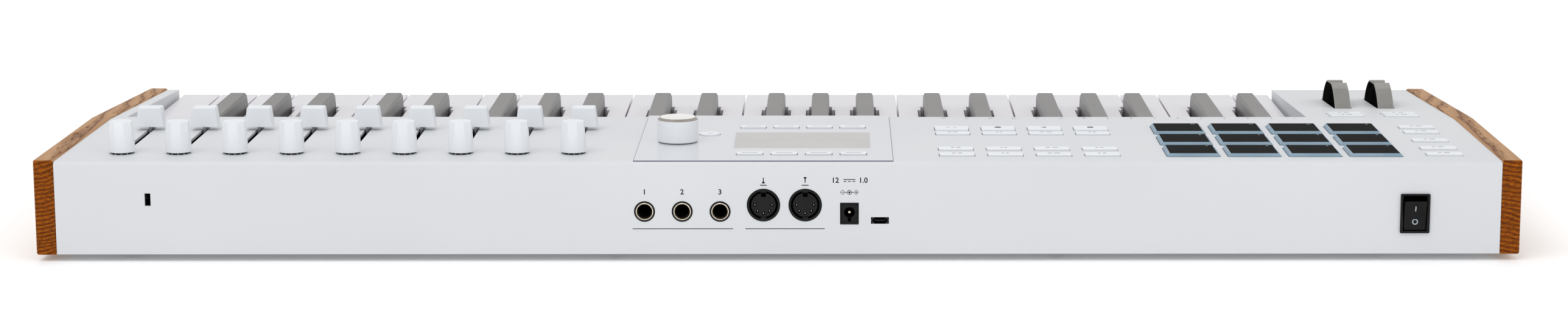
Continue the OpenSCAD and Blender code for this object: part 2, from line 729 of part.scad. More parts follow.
module side_buttons() {
    color("white") {
        for (t = side_t) on_top(side_x, t) press_key(side_w, side_d, button_proud);
        for (x = slope_x, t = slope_t) on_top(x, t) plain_button(side_w, side_d, button_proud);
    }
}

// ---- wheels ----
module wheel(x) {
    color("gray") on_top(x, wheel_t) translate([0, 0, -wheel_sink]) difference() {
        rotate([0, 90, 0]) translate([0, 0, -wheel_w / 2]) cylinder(h = wheel_w, r = wheel_r, $fn = 96);
        rotate([0, 90, 0]) translate([0, 0, -wheel_w])
            cylinder(h = 2 * wheel_w, r = wheel_axle_r + running, $fn = fine);
        translate([-wheel_w, -wheel_r - eps, -wheel_r - eps])
            cube([2 * wheel_w, 2 * wheel_r + 2 * eps, wheel_r - wheel_foot + eps]);
        translate([-wheel_w, 0, wheel_r + notch_lift]) rotate([0, 90, 0])
            cylinder(h = 2 * wheel_w, r = notch_r, $fn = 96);
    }
}
module pitch_wheel() {
    wheel(wheel_x[1]);
}
module mod_wheel() {
    wheel(wheel_x[0]);
}
module wheel_bracket() {
    plate_z = foot_h + sheet + fit;
    plate = 1.5;
    cheeks = [wheel_x[1] - wheel_w / 2 - 5, (wheel_x[0] + wheel_x[1]) / 2, wheel_x[0] + wheel_w / 2 + 5];
    axle_t = wheel_t - wheel_sink * sin(slope_a);
    axle_z = surface_z(wheel_t) - wheel_sink * cos(slope_a);
    color("darkgray") {
        block(cheeks[0] - 3, cheeks[2] + 3, wheel_t - 30, wheel_t + 30, plate_z, plate_z + plate);
        for (x = cheeks) block(x - 1, x + 1, axle_t - 8, axle_t + 8, plate_z, axle_z + 6);
        rod(cheeks[0], cheeks[2], axle_t, axle_z, wheel_axle_r);
    }
}

// ---- rear sockets ----
module jack_sockets() {
    color("black") for (x = jack_x) difference() {
        union() {
            block(x - jack_body_w / 2 + 1, x + jack_body_w / 2 - 1, sheet + fit, jack_l, main_top, jack_z + 7);
            boss(x, sheet + fit + eps, jack_z, jack_r, sheet + fit + eps + socket_proud);
        }
        boss(x, jack_l - 2, jack_z, jack_bore_r, jack_l + eps);
    }
}
module midi_sockets() {
    pin_r = 0.9;
    color("black") for (x = din_x) difference() {
        union() {
            block(x - din_body_w / 2, x + din_body_w / 2, sheet + fit, 16, main_top, din_z + 9.3);
            boss(x, sheet + fit + eps, din_z, din_r, sheet + fit + eps + socket_proud);
        }
        boss(x, din_depth, din_z, din_bore_r, din_depth + socket_proud + eps);
        for (a = [0 : 45 : 180]) boss(x + 5 * cos(a), 14, din_z - 5 * sin(a), pin_r, 6);
    }
}
module power_socket() {
    color("black") difference() {
        union() {
            block(power_x - 5, power_x + 5, sheet + fit, 16, main_top, power_z + 5.9);
            block(power_x - power_w / 2, power_x + power_w / 2, -socket_proud, sheet + fit + eps,
                power_z - power_h / 2, power_z + power_h / 2);
        }
        boss(power_x, 12, power_z, power_bore_r, 14);
    }
    color("silver") boss(power_x, 13, power_z, 1, 11);
}
module usb_socket() {
    wall = 0.4;
    color("silver") difference() {
        block(usb_x - usb_w / 2, usb_x + usb_w / 2, -0.2, 8, usb_z - usb_h / 2, usb_z + usb_h / 2);
        block(usb_x - usb_w / 2 + wall, usb_x + usb_w / 2 - wall, -eps, 7, usb_z - usb_h / 2 + wall,
            usb_z + usb_h / 2 - wall);
    }
    color("black") block(usb_x - 3.2, usb_x + 3.2, 0.8, 7.5, usb_z - 0.35, usb_z + 0.35);
}
module switch_housing() {
    lip = 1.2;
    depth = 22;
    well = 16;
    half_w = bezel_w / 2 - bezel_edge - fit;
    half_h = bezel_h / 2 - bezel_edge - fit;
    well_w = rocker_w / 2 + fit;
    well_h = rocker_sweep + fit;
    color("black") difference() {
        union() {
            block(rocker_x - bezel_w / 2, rocker_x + bezel_w / 2, -lip, -0.02, rocker_z - bezel_h / 2,
                rocker_z + bezel_h / 2);
            block(rocker_x - half_w, rocker_x + half_w, -lip / 2, depth, rocker_z - half_h, rocker_z + half_h);
        }
        block(rocker_x - well_w, rocker_x + well_w, -lip - eps, well, rocker_z - well_h, rocker_z + well_h);
        rod(rocker_x - half_w - eps, rocker_x + half_w + eps, rocker_depth, rocker_z, rocker_pin_r + running);
    }
}
module power_rocker() {
    dip = 1.2;
    root = 3;
    shoulder = 6;
    draft = 0.8;
    pin_l = rocker_w / 2 + 1;
    color("black") {
        translate([rocker_x - rocker_w / 2, yt(rocker_depth), rocker_z]) rotate([-rocker_tilt, 0, 0])
            rotate([90, 0, 90]) linear_extrude(rocker_w) polygon([
                [rocker_face, -rocker_half_h], [rocker_face - dip, 0], [rocker_face, rocker_half_h],
                [rocker_face - shoulder, rocker_half_h - draft], [-root, root], [-root, -root],
                [rocker_face - shoulder, -rocker_half_h + draft]]);
        rod(rocker_x - pin_l, rocker_x + pin_l, rocker_depth, rocker_z, rocker_pin_r);
    }
}

top_cover();
base_pan();
cheek_left();
cheek_right();
rubber_feet();
case_screws();
keybed_chassis();
key_pivot_rail();
key_felts();
key_contact_board();
display_glass();
lcd_module();
control_board();
main_board();
slide_pots();
rotary_encoders();
wheel_bracket();
jack_sockets();
midi_sockets();
power_socket();
usb_socket();
switch_housing();
pitch_wheel();
mod_wheel();
main_dial();
power_rocker();
pads();
display_buttons();
panel_buttons();
side_buttons();
for (note = [0 : len(note_names) - 1])
    key_group(note);
for (i = [1 : column_n])
    knob(i - 1);
for (i = [1 : column_n])
    fader(i - 1);
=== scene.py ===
"""Looks of the forty-nine key synthesizer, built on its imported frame.

Lengths are millimetres until mm() turns them into Blender's metres. Depths named t run forwards
from the rear face, +X is the player's right and +Z is up.
"""
import json
import math

import bmesh
import bpy
from mathutils import Matrix, Vector


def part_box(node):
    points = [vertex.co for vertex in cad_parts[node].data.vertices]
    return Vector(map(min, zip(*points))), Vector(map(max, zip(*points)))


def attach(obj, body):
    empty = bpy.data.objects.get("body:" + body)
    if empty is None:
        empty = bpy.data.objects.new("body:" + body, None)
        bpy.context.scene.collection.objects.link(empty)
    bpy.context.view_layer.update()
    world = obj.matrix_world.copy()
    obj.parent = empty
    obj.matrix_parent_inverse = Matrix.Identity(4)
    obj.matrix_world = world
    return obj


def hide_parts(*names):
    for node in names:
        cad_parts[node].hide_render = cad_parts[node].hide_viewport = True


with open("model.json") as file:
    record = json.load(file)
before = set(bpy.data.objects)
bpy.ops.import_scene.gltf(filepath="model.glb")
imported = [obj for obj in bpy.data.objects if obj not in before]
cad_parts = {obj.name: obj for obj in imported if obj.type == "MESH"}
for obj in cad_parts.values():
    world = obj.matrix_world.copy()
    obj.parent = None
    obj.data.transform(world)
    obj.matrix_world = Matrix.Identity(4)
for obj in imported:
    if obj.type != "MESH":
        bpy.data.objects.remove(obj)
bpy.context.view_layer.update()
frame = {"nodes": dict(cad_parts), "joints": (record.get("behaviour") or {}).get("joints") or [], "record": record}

MM = 0.001
SOFT_ANGLE = math.radians(35)


def mm(*values):
    """A point given in millimetres."""
    return Vector(values) * MM


def corners(node):
    """Lowest and highest corner of a CAD node, in millimetres."""
    low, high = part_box(node)
    return low / MM, high / MM


def solids(node):
    """Box of each separate solid of a CAD node, in millimetres, ordered by place."""
    mesh = frame["nodes"][node].data
    leader = {}

    def top(k):
        while leader[k] != k:
            leader[k] = leader[leader[k]]
            k = leader[k]
        return k

    keys = [tuple(round(c, 6) for c in v.co) for v in mesh.vertices]
    for k in keys:
        leader[k] = k
    for face in mesh.polygons:
        first, *others = [top(keys[v]) for v in face.vertices]
        for other in others:
            leader[top(other)] = top(first)
    groups = {}
    for k in set(keys):
        groups.setdefault(top(k), []).append(Vector(k) / MM)
    boxes = []
    for points in groups.values():
        low = Vector([min(p[a] for p in points) for a in range(3)])
        high = Vector([max(p[a] for p in points) for a in range(3)])
        boxes.append((low, high))
    return sorted(boxes, key=lambda b: (round(b[0].x, 1), round(b[0].y, 1)))


COVER_LOW, COVER_HIGH = corners("top_cover")
CASE_LOW, REAR_Y, FRONT_Y = COVER_LOW.z, COVER_HIGH.y, COVER_LOW.y
DECK_Z = COVER_HIGH.z
BEND_T = 138.0
SLOPE_DROP = 8.3
SLOPE = math.atan(SLOPE_DROP / (REAR_Y - FRONT_Y - BEND_T))


def at(t):
    """Y of a depth measured forwards from the rear face."""
    return REAR_Y - t


def deck_z(t):
    """Height of the deck or the slope at a depth."""
    return DECK_Z - max(0, t - BEND_T) * math.tan(SLOPE)


def midpoint(low, high):
    """X, Y and Z halfway between two corners."""
    return (low + high) / 2


def shift_of(node, first):
    """How far a node stands to the side of the first one like it."""
    return corners(node)[0].x - corners(first)[0].x, 0, 0


def axle_of(body):
    """Point on the axis of the joint that carries a body, in millimetres."""
    joint = next(j for j in frame["joints"] if j["child"] == body)
    return Vector(joint["pos_m"]) / MM


def turn_about(point, angle, axis):
    """Turns things about a point given in millimetres."""
    pivot = mm(*point)
    return Matrix.Translation(pivot) @ Matrix.Rotation(angle, 4, axis) @ Matrix.Translation(-pivot)


# ---- shaping ----
def only(*objs):
    """Selects these objects and nothing else."""
    bpy.ops.object.select_all(action="DESELECT")
    for obj in objs:
        obj.select_set(True)
    bpy.context.view_layer.objects.active = objs[0]


def block(name, low, high):
    """A box between two corners, with its place in the mesh."""
    low, high = Vector(low), Vector(high)
    bpy.ops.object.select_all(action="DESELECT")
    bpy.ops.mesh.primitive_cube_add(size=1, location=(low + high) / 2 * MM, scale=(high - low) * MM)
    obj = bpy.context.object
    obj.name = obj.data.name = name
    bpy.ops.object.transform_apply(location=True, rotation=True, scale=True)
    return obj


TURNS = {"x": (0, math.radians(90), 0), "y": (math.radians(-90), 0, 0), "z": (0, 0, 0)}


def drum(name, centre, radius, length, axis, sides=64, top_radius=None):
    """A cylinder or cone along an axis, its middle at centre; top_radius is at the far end."""
    bpy.ops.object.select_all(action="DESELECT")
    bpy.ops.mesh.primitive_cone_add(
        vertices=sides, radius1=radius * MM, radius2=(radius if top_radius is None else top_radius) * MM,
        depth=length * MM, location=mm(*centre), rotation=TURNS[axis])
    obj = bpy.context.object
    obj.name = obj.data.name = name
    bpy.ops.object.transform_apply(location=True, rotation=True, scale=True)
    return obj


def start_outline(name, points):
    """Opens a new object for editing, holding a chain of edges through the points."""
    bpy.ops.object.select_all(action="DESELECT")
    bpy.ops.mesh.primitive_plane_add(size=MM)
    obj = bpy.context.object
    obj.name = obj.data.name = name
    bpy.ops.object.mode_set(mode="EDIT")
    bpy.ops.mesh.select_mode(type="VERT")
    bpy.ops.mesh.select_all(action="SELECT")
    bpy.ops.mesh.merge(type="CENTER")
    bpy.ops.transform.translate(value=points[0])
    for before, after in zip(points, points[1:]):
        bpy.ops.mesh.extrude_region_move(TRANSFORM_OT_translate={"value": after - before})
    bpy.ops.mesh.select_all(action="SELECT")
    return obj


def turned(name, outline, centre, axis, steps=64):
    """A piece spun from an outline of (radius, height) pairs about an axis through centre."""
    def place(radius, height):
        across, along = {"x": ("z", "x"), "y": ("x", "y"), "z": ("x", "z")}[axis]
        point = {"x": 0.0, "y": 0.0, "z": 0.0}
        point[across] += radius
        point[along] += height
        return (Vector(centre) + Vector((point["x"], point["y"], point["z"]))) * MM

    obj = start_outline(name, [place(*pair) for pair in outline])
    direction = {"x": (1, 0, 0), "y": (0, 1, 0), "z": (0, 0, 1)}[axis]
    bpy.ops.mesh.spin(steps=steps, angle=math.tau, center=mm(*centre), axis=direction)
    bpy.ops.mesh.select_all(action="SELECT")
    bpy.ops.mesh.remove_doubles(threshold=1e-6)
    bpy.ops.mesh.normals_make_consistent(inside=False)
    bpy.ops.object.mode_set(mode="OBJECT")
    return obj


def plate(name, outline, x_low, x_high):
    """A flat piece extruded along X from a closed outline of (y, z) points."""
    obj = start_outline(name, [mm(x_low, *pair) for pair in outline])
    bpy.ops.mesh.edge_face_add()
    bpy.ops.mesh.extrude_region_move(TRANSFORM_OT_translate={"value": mm(x_high - x_low, 0, 0)})
    bpy.ops.mesh.select_all(action="SELECT")
    bpy.ops.mesh.normals_make_consistent(inside=False)
    bpy.ops.object.mode_set(mode="OBJECT")
    return obj


def editing(obj, kind, test):
    """Opens obj for editing with only the faces, edges or corners that pass test selected.

    The test gets the middle in millimetres, and for a face its normal, for an edge its direction."""
    only(obj)
    bpy.ops.object.mode_set(mode="EDIT")
    bpy.ops.mesh.select_mode(type=kind)
    bpy.ops.mesh.select_all(action="DESELECT")
    mesh = bmesh.from_edit_mesh(obj.data)
    if kind == "FACE":
        for face in mesh.faces:
            face.select_set(test(face.calc_center_median() / MM, face.normal))
    elif kind == "EDGE":
        for edge in mesh.edges:
            a, b = (v.co / MM for v in edge.verts)
            edge.select_set(test((a + b) / 2, (b - a).normalized()))
    else:
        for corner in mesh.verts:
            corner.select_set(test(corner.co / MM))
    mesh.select_flush_mode()
    bmesh.update_edit_mesh(obj.data)


def done():
    bpy.ops.object.mode_set(mode="OBJECT")


def slice_at(obj, point, normal, drop=False):
    """Cuts a line round obj where a plane crosses it; drop takes away and closes the normal's side."""
    editing(obj, "FACE", lambda centre, n: True)
    bpy.ops.mesh.bisect(plane_co=mm(*point), plane_no=normal, clear_outer=drop, use_fill=drop)
    done()


def nudge(obj, test, shift):
    """Moves the corners that pass test."""
    editing(obj, "VERT", test)
    bpy.ops.transform.translate(value=mm(*shift))
    done()


def stretch(obj, test, scale, centre):
    """Scales the corners that pass test about a point."""
    editing(obj, "VERT", test)
    bpy.ops.transform.resize(value=scale, center_override=mm(*centre))
    done()


def pull(obj, test, shift):
    """Extrudes the faces that pass test by a shift."""
    editing(obj, "FACE", test)
    bpy.ops.mesh.extrude_region_move(TRANSFORM_OT_translate={"value": mm(*shift)})
    done()


def step_in(obj, test, inset, depth=0.0):
    """Insets the faces that pass test and pushes the middle in by depth, or out if it is negative."""
    editing(obj, "FACE", test)
    bpy.ops.mesh.inset(thickness=inset * MM, depth=-depth * MM, use_even_offset=True)
    done()


def round_lines(obj, test, width, segments=4):
    """Bevels the edges that pass test."""
    editing(obj, "EDGE", test)
    bpy.ops.mesh.bevel(offset=width * MM, segments=segments, profile=0.5, affect="EDGES")
    done()


def finish_with(obj, kind, **settings):
    """Adds a modifier with its settings and applies it."""
    only(obj)
    modifier = obj.modifiers.new(kind.title(), kind)
    for key, value in settings.items():
        setattr(modifier, key, value)
    bpy.ops.object.modifier_apply(modifier=modifier.name)


def ease(obj, width, segments=3, angle=30):
    """Rounds every edge sharper than angle and shades what is left smoothly."""
    finish_with(obj, "BEVEL", width=width * MM, segments=segments, limit_method="ANGLE",
                angle_limit=math.radians(angle), miter_outer="MITER_ARC")
    soften(obj)
    even_out(obj)


def soften(obj):
    only(obj)
    bpy.ops.object.shade_smooth_by_angle(angle=SOFT_ANGLE)


def even_out(obj):
    """Lets the broad faces lead the shading, so that they stay flat up to their rounded edges."""
    finish_with(obj, "WEIGHTED_NORMAL", keep_sharp=True)


def carve(obj, *cutters):
    """Cuts the cutters out of obj and removes them."""
    for cutter in cutters:
        finish_with(obj, "BOOLEAN", operation="DIFFERENCE", object=cutter, solver="EXACT")
        bpy.data.objects.remove(cutter)


def weld(name, *objs):
    """Joins objects into one."""
    only(*objs)
    if len(objs) > 1:
        bpy.ops.object.join()
    objs[0].name = objs[0].data.name = name
    return objs[0]


def copied(obj, name, shift=(0, 0, 0), about=(0, 0, 0), turn=0.0, axis="X"):
    """A copy with its own mesh, moved by shift, or turned about a point."""
    twin = obj.copy()
    twin.data = obj.data.copy()
    twin.parent = None
    for key in list(twin.keys()):
        del twin[key]
    twin.name = twin.data.name = name
    bpy.context.scene.collection.objects.link(twin)
    twin.data.transform(Matrix.Translation(mm(*shift)) @ turn_about(about, turn, axis))
    return twin


def paint(obj, *finishes, where=()):
    """Gives obj its materials; where lists (index, test) pairs for the faces that don't take the first."""
    obj.data.materials.clear()
    for material in finishes:
        obj.data.materials.append(material)
    for face in obj.data.polygons:
        face.material_index = 0
        for index, test in where:
            if test(face.center / MM, face.normal):
                face.material_index = index


def mount(obj, body, slot, *nodes):
    """Lets obj ride on a body and hides the CAD nodes it stands for; the slot it is given is not used."""
    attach(obj, body)
    if nodes:
        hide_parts(*nodes)


def laid_on_slope(obj, t):
    """Tips a piece modelled on a level deck at depth t down to the slope of the case."""
    drop = Matrix.Translation(mm(0, 0, deck_z(t) - DECK_Z))
    obj.data.transform(drop @ turn_about((0, at(t), DECK_Z), SLOPE, "X"))


# ---- finishes ----
def linear(hex_colour):
    """sRGB hex to the linear colour that Blender uses."""
    channels = [int(hex_colour[k:k + 2], 16) / 255 for k in (1, 3, 5)]
    return tuple(c / 12.92 if c <= 0.04045 else ((c + 0.055) / 1.055) ** 2.4 for c in channels) + (1.0,)


def add(material, kind, links=None, **settings):
    """Adds one node with its settings; links maps an input to a socket or a value."""
    node = material.node_tree.nodes.new(kind)
    for key, value in settings.items():
        setattr(node, key, value)
    for key, value in (links or {}).items():
        if isinstance(value, bpy.types.NodeSocket):
            material.node_tree.links.new(value, node.inputs[key])
        else:
            node.inputs[key].default_value = value
    return node


def blank_finish(name, **sockets):
    """A material with its shader's constant sockets set; returns it and the shader."""
    material = bpy.data.materials.new(name)
    material.use_nodes = True
    shader = material.node_tree.nodes["Principled BSDF"]
    for key, value in sockets.items():
        shader.inputs[key.replace("_", " ")].default_value = value
    return material, shader


def ramp(material, factor, stops):
    """A colour ramp over (position, hex or grey) stops."""
    node = add(material, "ShaderNodeValToRGB", {"Fac": factor})
    band = node.color_ramp
    while len(band.elements) < len(stops):
        band.elements.new(0.5)
    for element, (position, colour) in zip(band.elements, stops):
        element.position = position
        element.color = linear(colour) if isinstance(colour, str) else (colour, colour, colour, 1)
    return node.outputs["Color"]


def grained(name, tones, gloss, grain, lift, cloud=60.0, **sockets):
    """A moulded, painted or pressed finish.

    Its colour drifts between two tones over clouds, its roughness between two values over the grain,
    and the grain stands up by lift. Sizes are in millimetres."""
    material, shader = blank_finish(name, **sockets)
    place = add(material, "ShaderNodeTexCoord").outputs["Object"]
    broad = add(material, "ShaderNodeTexNoise", {"Vector": place, "Scale": 1 / (cloud * MM), "Detail": 3.0})
    fine = add(material, "ShaderNodeTexNoise", {"Vector": place, "Scale": 1 / (grain * MM), "Detail": 4.0,
                                                "Roughness": 0.6})
    links = material.node_tree.links
    tone = ramp(material, broad.outputs["Fac"], [(0.3, tones[0]), (0.7, tones[1])])
    links.new(tone, shader.inputs["Base Color"])
    rough = add(material, "ShaderNodeMapRange", {
        "Value": fine.outputs["Fac"], "From Min": 0.3, "From Max": 0.7,
        "To Min": gloss[0], "To Max": gloss[1]})
    links.new(rough.outputs["Result"], shader.inputs["Roughness"])
    bump = add(material, "ShaderNodeBump", {
        "Height": fine.outputs["Fac"], "Distance": lift * MM, "Strength": 1.0})
    links.new(bump.outputs["Normal"], shader.inputs["Normal"])
    return material


# Powder-coated steel: sprayed and baked, so a fine orange peel breaks up a low satin shine.
POWDER_WHITE = grained("powder_coated_steel_white", ("#D2D4D7", "#D6D8DA"), (0.4, 0.52), 1.6, 0.02, 150)
# The base has a duller grey coat with a coarser texture.
POWDER_GREY = grained("powder_coated_steel_grey", ("#B4B6B9", "#BDBFC1"), (0.55, 0.75), 1.0, 0.04, 80)
# Polished acrylic-faced key: glassy, faintly lilac white.
KEY_WHITE = grained("polished_key_plastic_white", ("#DCD9DE", "#E0DDE2"), (0.16, 0.22), 9.0, 0.004, 60,
                    Coat_Weight=0.35, Coat_Roughness=0.08)
# Satin moulded key: soft grey with a dull sheen at low angles.
KEY_GREY = grained("satin_key_plastic_grey", ("#6F6D6B", "#757371"), (0.34, 0.42), 1.2, 0.006, 40)
# Spark-textured ABS caps: cool white with a soft shine.
CAP_WHITE = grained("satin_abs_white", ("#E4E7EB", "#E8EBEE"), (0.36, 0.46), 0.9, 0.008, 30)
# The dial's cap is warmer and smoother than its skirt.
DIAL_CREAM = grained("satin_abs_cream", ("#EDEAE6", "#F0EDE9"), (0.25, 0.32), 9.0, 0.001, 20)
# Silicone pad face: black, matt and a little dusty.
PAD_BLACK = grained("silicone_rubber_black", ("#100E0D", "#151312"), (0.62, 0.78), 0.8, 0.02, 25,
                    Specular_IOR_Level=0.04)
# Clear silicone skirt painted pale blue, a painted glow standing for the backlight; light also glows through the
# edge.
PAD_GLOW_BLUE = grained("silicone_rubber_pale_blue", ("#869EAE", "#93A9B8"), (0.4, 0.55), 1.5, 0.01, 20,
                   Subsurface_Weight=0.35, Subsurface_Scale=0.003, Specular_IOR_Level=0.25)
# Soft-touch coated ABS: mid grey, velvety and evenly pebbled.
SOFT_GREY = grained("soft_touch_abs_grey", ("#8B8985", "#94928D"), (0.55, 0.7), 0.5, 0.05, 15,
                    Sheen_Weight=0.2, Sheen_Roughness=0.5)
# Moulded nylon and ABS hardware: near black with a low sheen.
BLACK_ABS = grained("moulded_abs_black", ("#0E0E0F", "#151516"), (0.32, 0.45), 0.7, 0.01, 15,
                   Specular_IOR_Level=0.2)
# Rocker of the switch: the same plastic, with a smoother, brighter face.
BLACK_SATIN = grained("moulded_abs_black_satin", ("#0F0F10", "#141415"), (0.25, 0.35), 1.2, 0.004, 15,
                     Specular_IOR_Level=0.14)
# Painted shade for the inside of sockets and recesses: a darker copy of the black plastic that hardly reflects.
BLACK_SHADE = grained("moulded_abs_deep_black", ("#050505", "#080808"), (0.6, 0.8), 0.8, 0.01, 10,
                     Specular_IOR_Level=0.15)
# Turned, nickel-plated brass: bright, faintly warm metal with fine turning lines.
NICKEL = grained("nickel_plated_brass", ("#D8CDBB", "#E4DACA"), (0.16, 0.26), 0.6, 0.002, 5, Metallic=1.0)
# Polished chrome: mirror bright.
CHROME = grained("polished_chrome", ("#A9A39B", "#B5AFA7"), (0.08, 0.14), 2.0, 0.001, 10, Metallic=1.0)
# Zinc-plated steel: grey metal with a soft bluish bloom.
ZINC = grained("zinc_plated_steel", ("#8F9396", "#A7AAAD"), (0.3, 0.48), 2.5, 0.01, 12, Metallic=1.0)
# Dark passivated metal of the encoder nuts.
NUT_METAL = grained("black_zinc_steel", ("#3A3A3C", "#57575A"), (0.25, 0.4), 1.2, 0.01, 6, Metallic=1.0)
# Solder-masked board: deep green with a wet gloss.
BOARD_GREEN = grained("solder_masked_board_green", ("#123A25", "#174A2F"), (0.25, 0.35), 2.0, 0.01, 20)
# Pressed wool felt: red and fibrous.
FELT_RED = grained("pressed_wool_felt_red", ("#6B1B1B", "#7E2424"), (0.85, 1.0), 0.6, 0.12, 8,
                   Sheen_Weight=0.5, Sheen_Roughness=0.6)
# Moulded rubber foot: matt black.
FOOT_BLACK = grained("moulded_rubber_black", ("#131313", "#1A1A1A"), (0.7, 0.85), 0.8, 0.03, 10)
# Clear acrylic cover printed white behind: a wet gloss over cool white.
COVER_WHITE = grained("acrylic_cover_printed_white", ("#D3D5DA", "#D8DADF"), (0.05, 0.08), 20.0, 0.001, 80,
                      Coat_Weight=0.6, Coat_Roughness=0.03)
# Edge of the cover: its outer sides are a darker violet grey.
COVER_EDGE = grained("acrylic_cover_edge", ("#5F5C78", "#6C6985"), (0.15, 0.25), 3.0, 0.002, 10)
# Liquid crystal window, switched off: warm light grey under the same gloss.
SCREEN_GREY = grained("liquid_crystal_panel_off", ("#B5B3AF", "#BDBBB7"), (0.08, 0.12), 15.0, 0.001, 30)
# Screen-printed ink: flat near black, and a warm grey for lines.
INK_BLACK = grained("screen_print_ink_black", ("#141414", "#1C1B1B"), (0.6, 0.75), 0.5, 0.004, 6,
                    Specular_IOR_Level=0.2)
INK_GREY = grained("screen_print_ink_grey", ("#524D4A", "#5C5754"), (0.6, 0.75), 0.5, 0.004, 6,
                   Specular_IOR_Level=0.2)
INK_SILVER = grained("screen_print_ink_silver", ("#BFC0C2", "#C7C8CA"), (0.3, 0.4), 0.5, 0.002, 6)
INK_PALE = grained("pad_print_ink_pale", ("#98A3AA", "#A4AEB4"), (0.5, 0.6), 0.5, 0.004, 6)


def oiled_ash(name, tilt, ring, seed):
    """Oiled ash: tan with dark open pores in dashes along the grain; the sawn ends soak up oil and
    turn a deep orange brown, with the growth rings as dark lines. Ring spacing in millimetres."""
    material, shader = blank_finish(name, Specular_IOR_Level=0.08)
    links = material.node_tree.links
    coords = add(material, "ShaderNodeTexCoord")
    # slow wander of the rings along the board
    drift = add(material, "ShaderNodeMapping", {"Vector": coords.outputs["Object"], "Location": (seed, 0, 0),
                                                "Scale": (1.0, 0.16, 1.0)})
    wander = add(material, "ShaderNodeTexNoise", {"Vector": drift.outputs["Vector"], "Scale": 1 / (26 * MM),
                                                  "Detail": 2.0})
    parts = add(material, "ShaderNodeSeparateXYZ", {"Vector": coords.outputs["Object"]})
    across = add(material, "ShaderNodeMath", {0: parts.outputs["X"], 1: math.sin(tilt)}, operation="MULTIPLY")
    upward = add(material, "ShaderNodeMath", {0: parts.outputs["Z"], 1: math.cos(tilt), 2: across.outputs[0]},
                 operation="MULTIPLY_ADD")
    wavy = add(material, "ShaderNodeMath", {0: wander.outputs["Fac"], 1: 9 * MM, 2: upward.outputs[0]},
               operation="MULTIPLY_ADD")
    phase = add(material, "ShaderNodeMath", {0: wavy.outputs[0], 1: 1 / (ring * MM)}, operation="MULTIPLY")
    year = add(material, "ShaderNodeMath", {0: phase.outputs[0]}, operation="FRACT")
    # open pores, drawn 0.5 mm wide and about 10 mm long so that they show
    place = coords.outputs["Object"]
    stretched = add(material, "ShaderNodeMapping", {"Vector": place, "Scale": (1.0, 0.05, 1.0)})
    pores = add(material, "ShaderNodeTexNoise", {
        "Vector": stretched.outputs["Vector"], "Scale": 1 / (0.5 * MM), "Detail": 2.0, "Roughness": 0.7})
    pore_band = ramp(material, year.outputs[0], [(0.0, 1.0), (0.3, 0.75), (0.5, 0.12), (1.0, 0.05)])
    pore_dots = ramp(material, pores.outputs["Fac"], [(0.5, 0.0), (0.6, 1.0)])
    pitted = add(material, "ShaderNodeMath", {0: pore_band, 1: pore_dots}, operation="MULTIPLY")
    long_tone = ramp(material, year.outputs[0], [(0.0, "#7E5331"), (0.14, "#A67A50"), (0.5, "#BC9065"),
                                                 (0.9, "#AE8156"), (1.0, "#875B37")])
    end_tone = ramp(material, year.outputs[0], [(0.0, "#722D00"), (0.2, "#8F4502"), (0.5, "#AC5E0F"),
                                                (0.85, "#9C5006"), (1.0, "#7A3300")])
    # short flecks across the sawn end, drawn 0.45 mm wide so that they show
    crosswise = add(material, "ShaderNodeMapping", {"Vector": place, "Scale": (0.2, 1.0, 1.0)})
    flecks = add(material, "ShaderNodeTexNoise", {
        "Vector": crosswise.outputs["Vector"], "Scale": 1 / (0.45 * MM), "Detail": 3.0, "Roughness": 0.65})
    fleck_tone = ramp(material, flecks.outputs["Fac"], [(0.38, 1.0), (0.5, 0.72), (0.62, 0.34)])
    end_flecked = add(material, "ShaderNodeMix", {0: 1.0, 6: end_tone, 7: fleck_tone}, data_type="RGBA",
                      blend_type="MULTIPLY")
    sides = add(material, "ShaderNodeSeparateXYZ", {"Vector": coords.outputs["Normal"]})
    end = add(material, "ShaderNodeMath", {0: sides.outputs["Y"]}, operation="ABSOLUTE")
    end_amount = add(material, "ShaderNodeMapRange", {
        "Value": end.outputs[0], "From Min": 0.45, "From Max": 0.8})
    tone = add(material, "ShaderNodeMix", {
        0: end_amount.outputs["Result"], 6: long_tone, 7: end_flecked.outputs[2]}, data_type="RGBA")
    pore_tone = add(material, "ShaderNodeMix", {
        0: pitted.outputs[0], 6: tone.outputs[2], 7: linear("#5E3A1E")}, data_type="RGBA")
    links.new(pore_tone.outputs[2], shader.inputs["Base Color"])
    gloss = add(material, "ShaderNodeMapRange", {"Value": pitted.outputs[0], "To Min": 0.42, "To Max": 0.75})
    links.new(gloss.outputs["Result"], shader.inputs["Roughness"])
    depth = add(material, "ShaderNodeMath", {0: 1.0, 1: pitted.outputs[0]}, operation="SUBTRACT")
    bump = add(material, "ShaderNodeBump", {"Height": depth.outputs[0], "Distance": 0.1 * MM})
    links.new(bump.outputs["Normal"], shader.inputs["Normal"])
    return material


ASH_RIGHT = oiled_ash("oiled_ash_straight", math.radians(16), 2.2, 3.0)
ASH_LEFT = oiled_ash("oiled_ash_figured", math.radians(-7), 2.6, 11.0)


# ---- case ----
def make_case():
    """The folded cover and the inner parts keep their CAD shapes and take their finishes."""
    plain = {"top_cover": POWDER_WHITE, "base_pan": POWDER_GREY, "keybed_chassis": ZINC,
             "key_pivot_rail": ZINC, "key_felts": FELT_RED, "key_contact_board": BOARD_GREEN,
             "control_board": BOARD_GREEN, "main_board": BOARD_GREEN, "slide_pots": NUT_METAL,
             "rotary_encoders": NUT_METAL, "wheel_bracket": ZINC, "lcd_module": ZINC, "case_screws": ZINC}
    for node, material in plain.items():
        data = frame["nodes"][node].data
        data.materials.clear()
        data.materials.append(material)


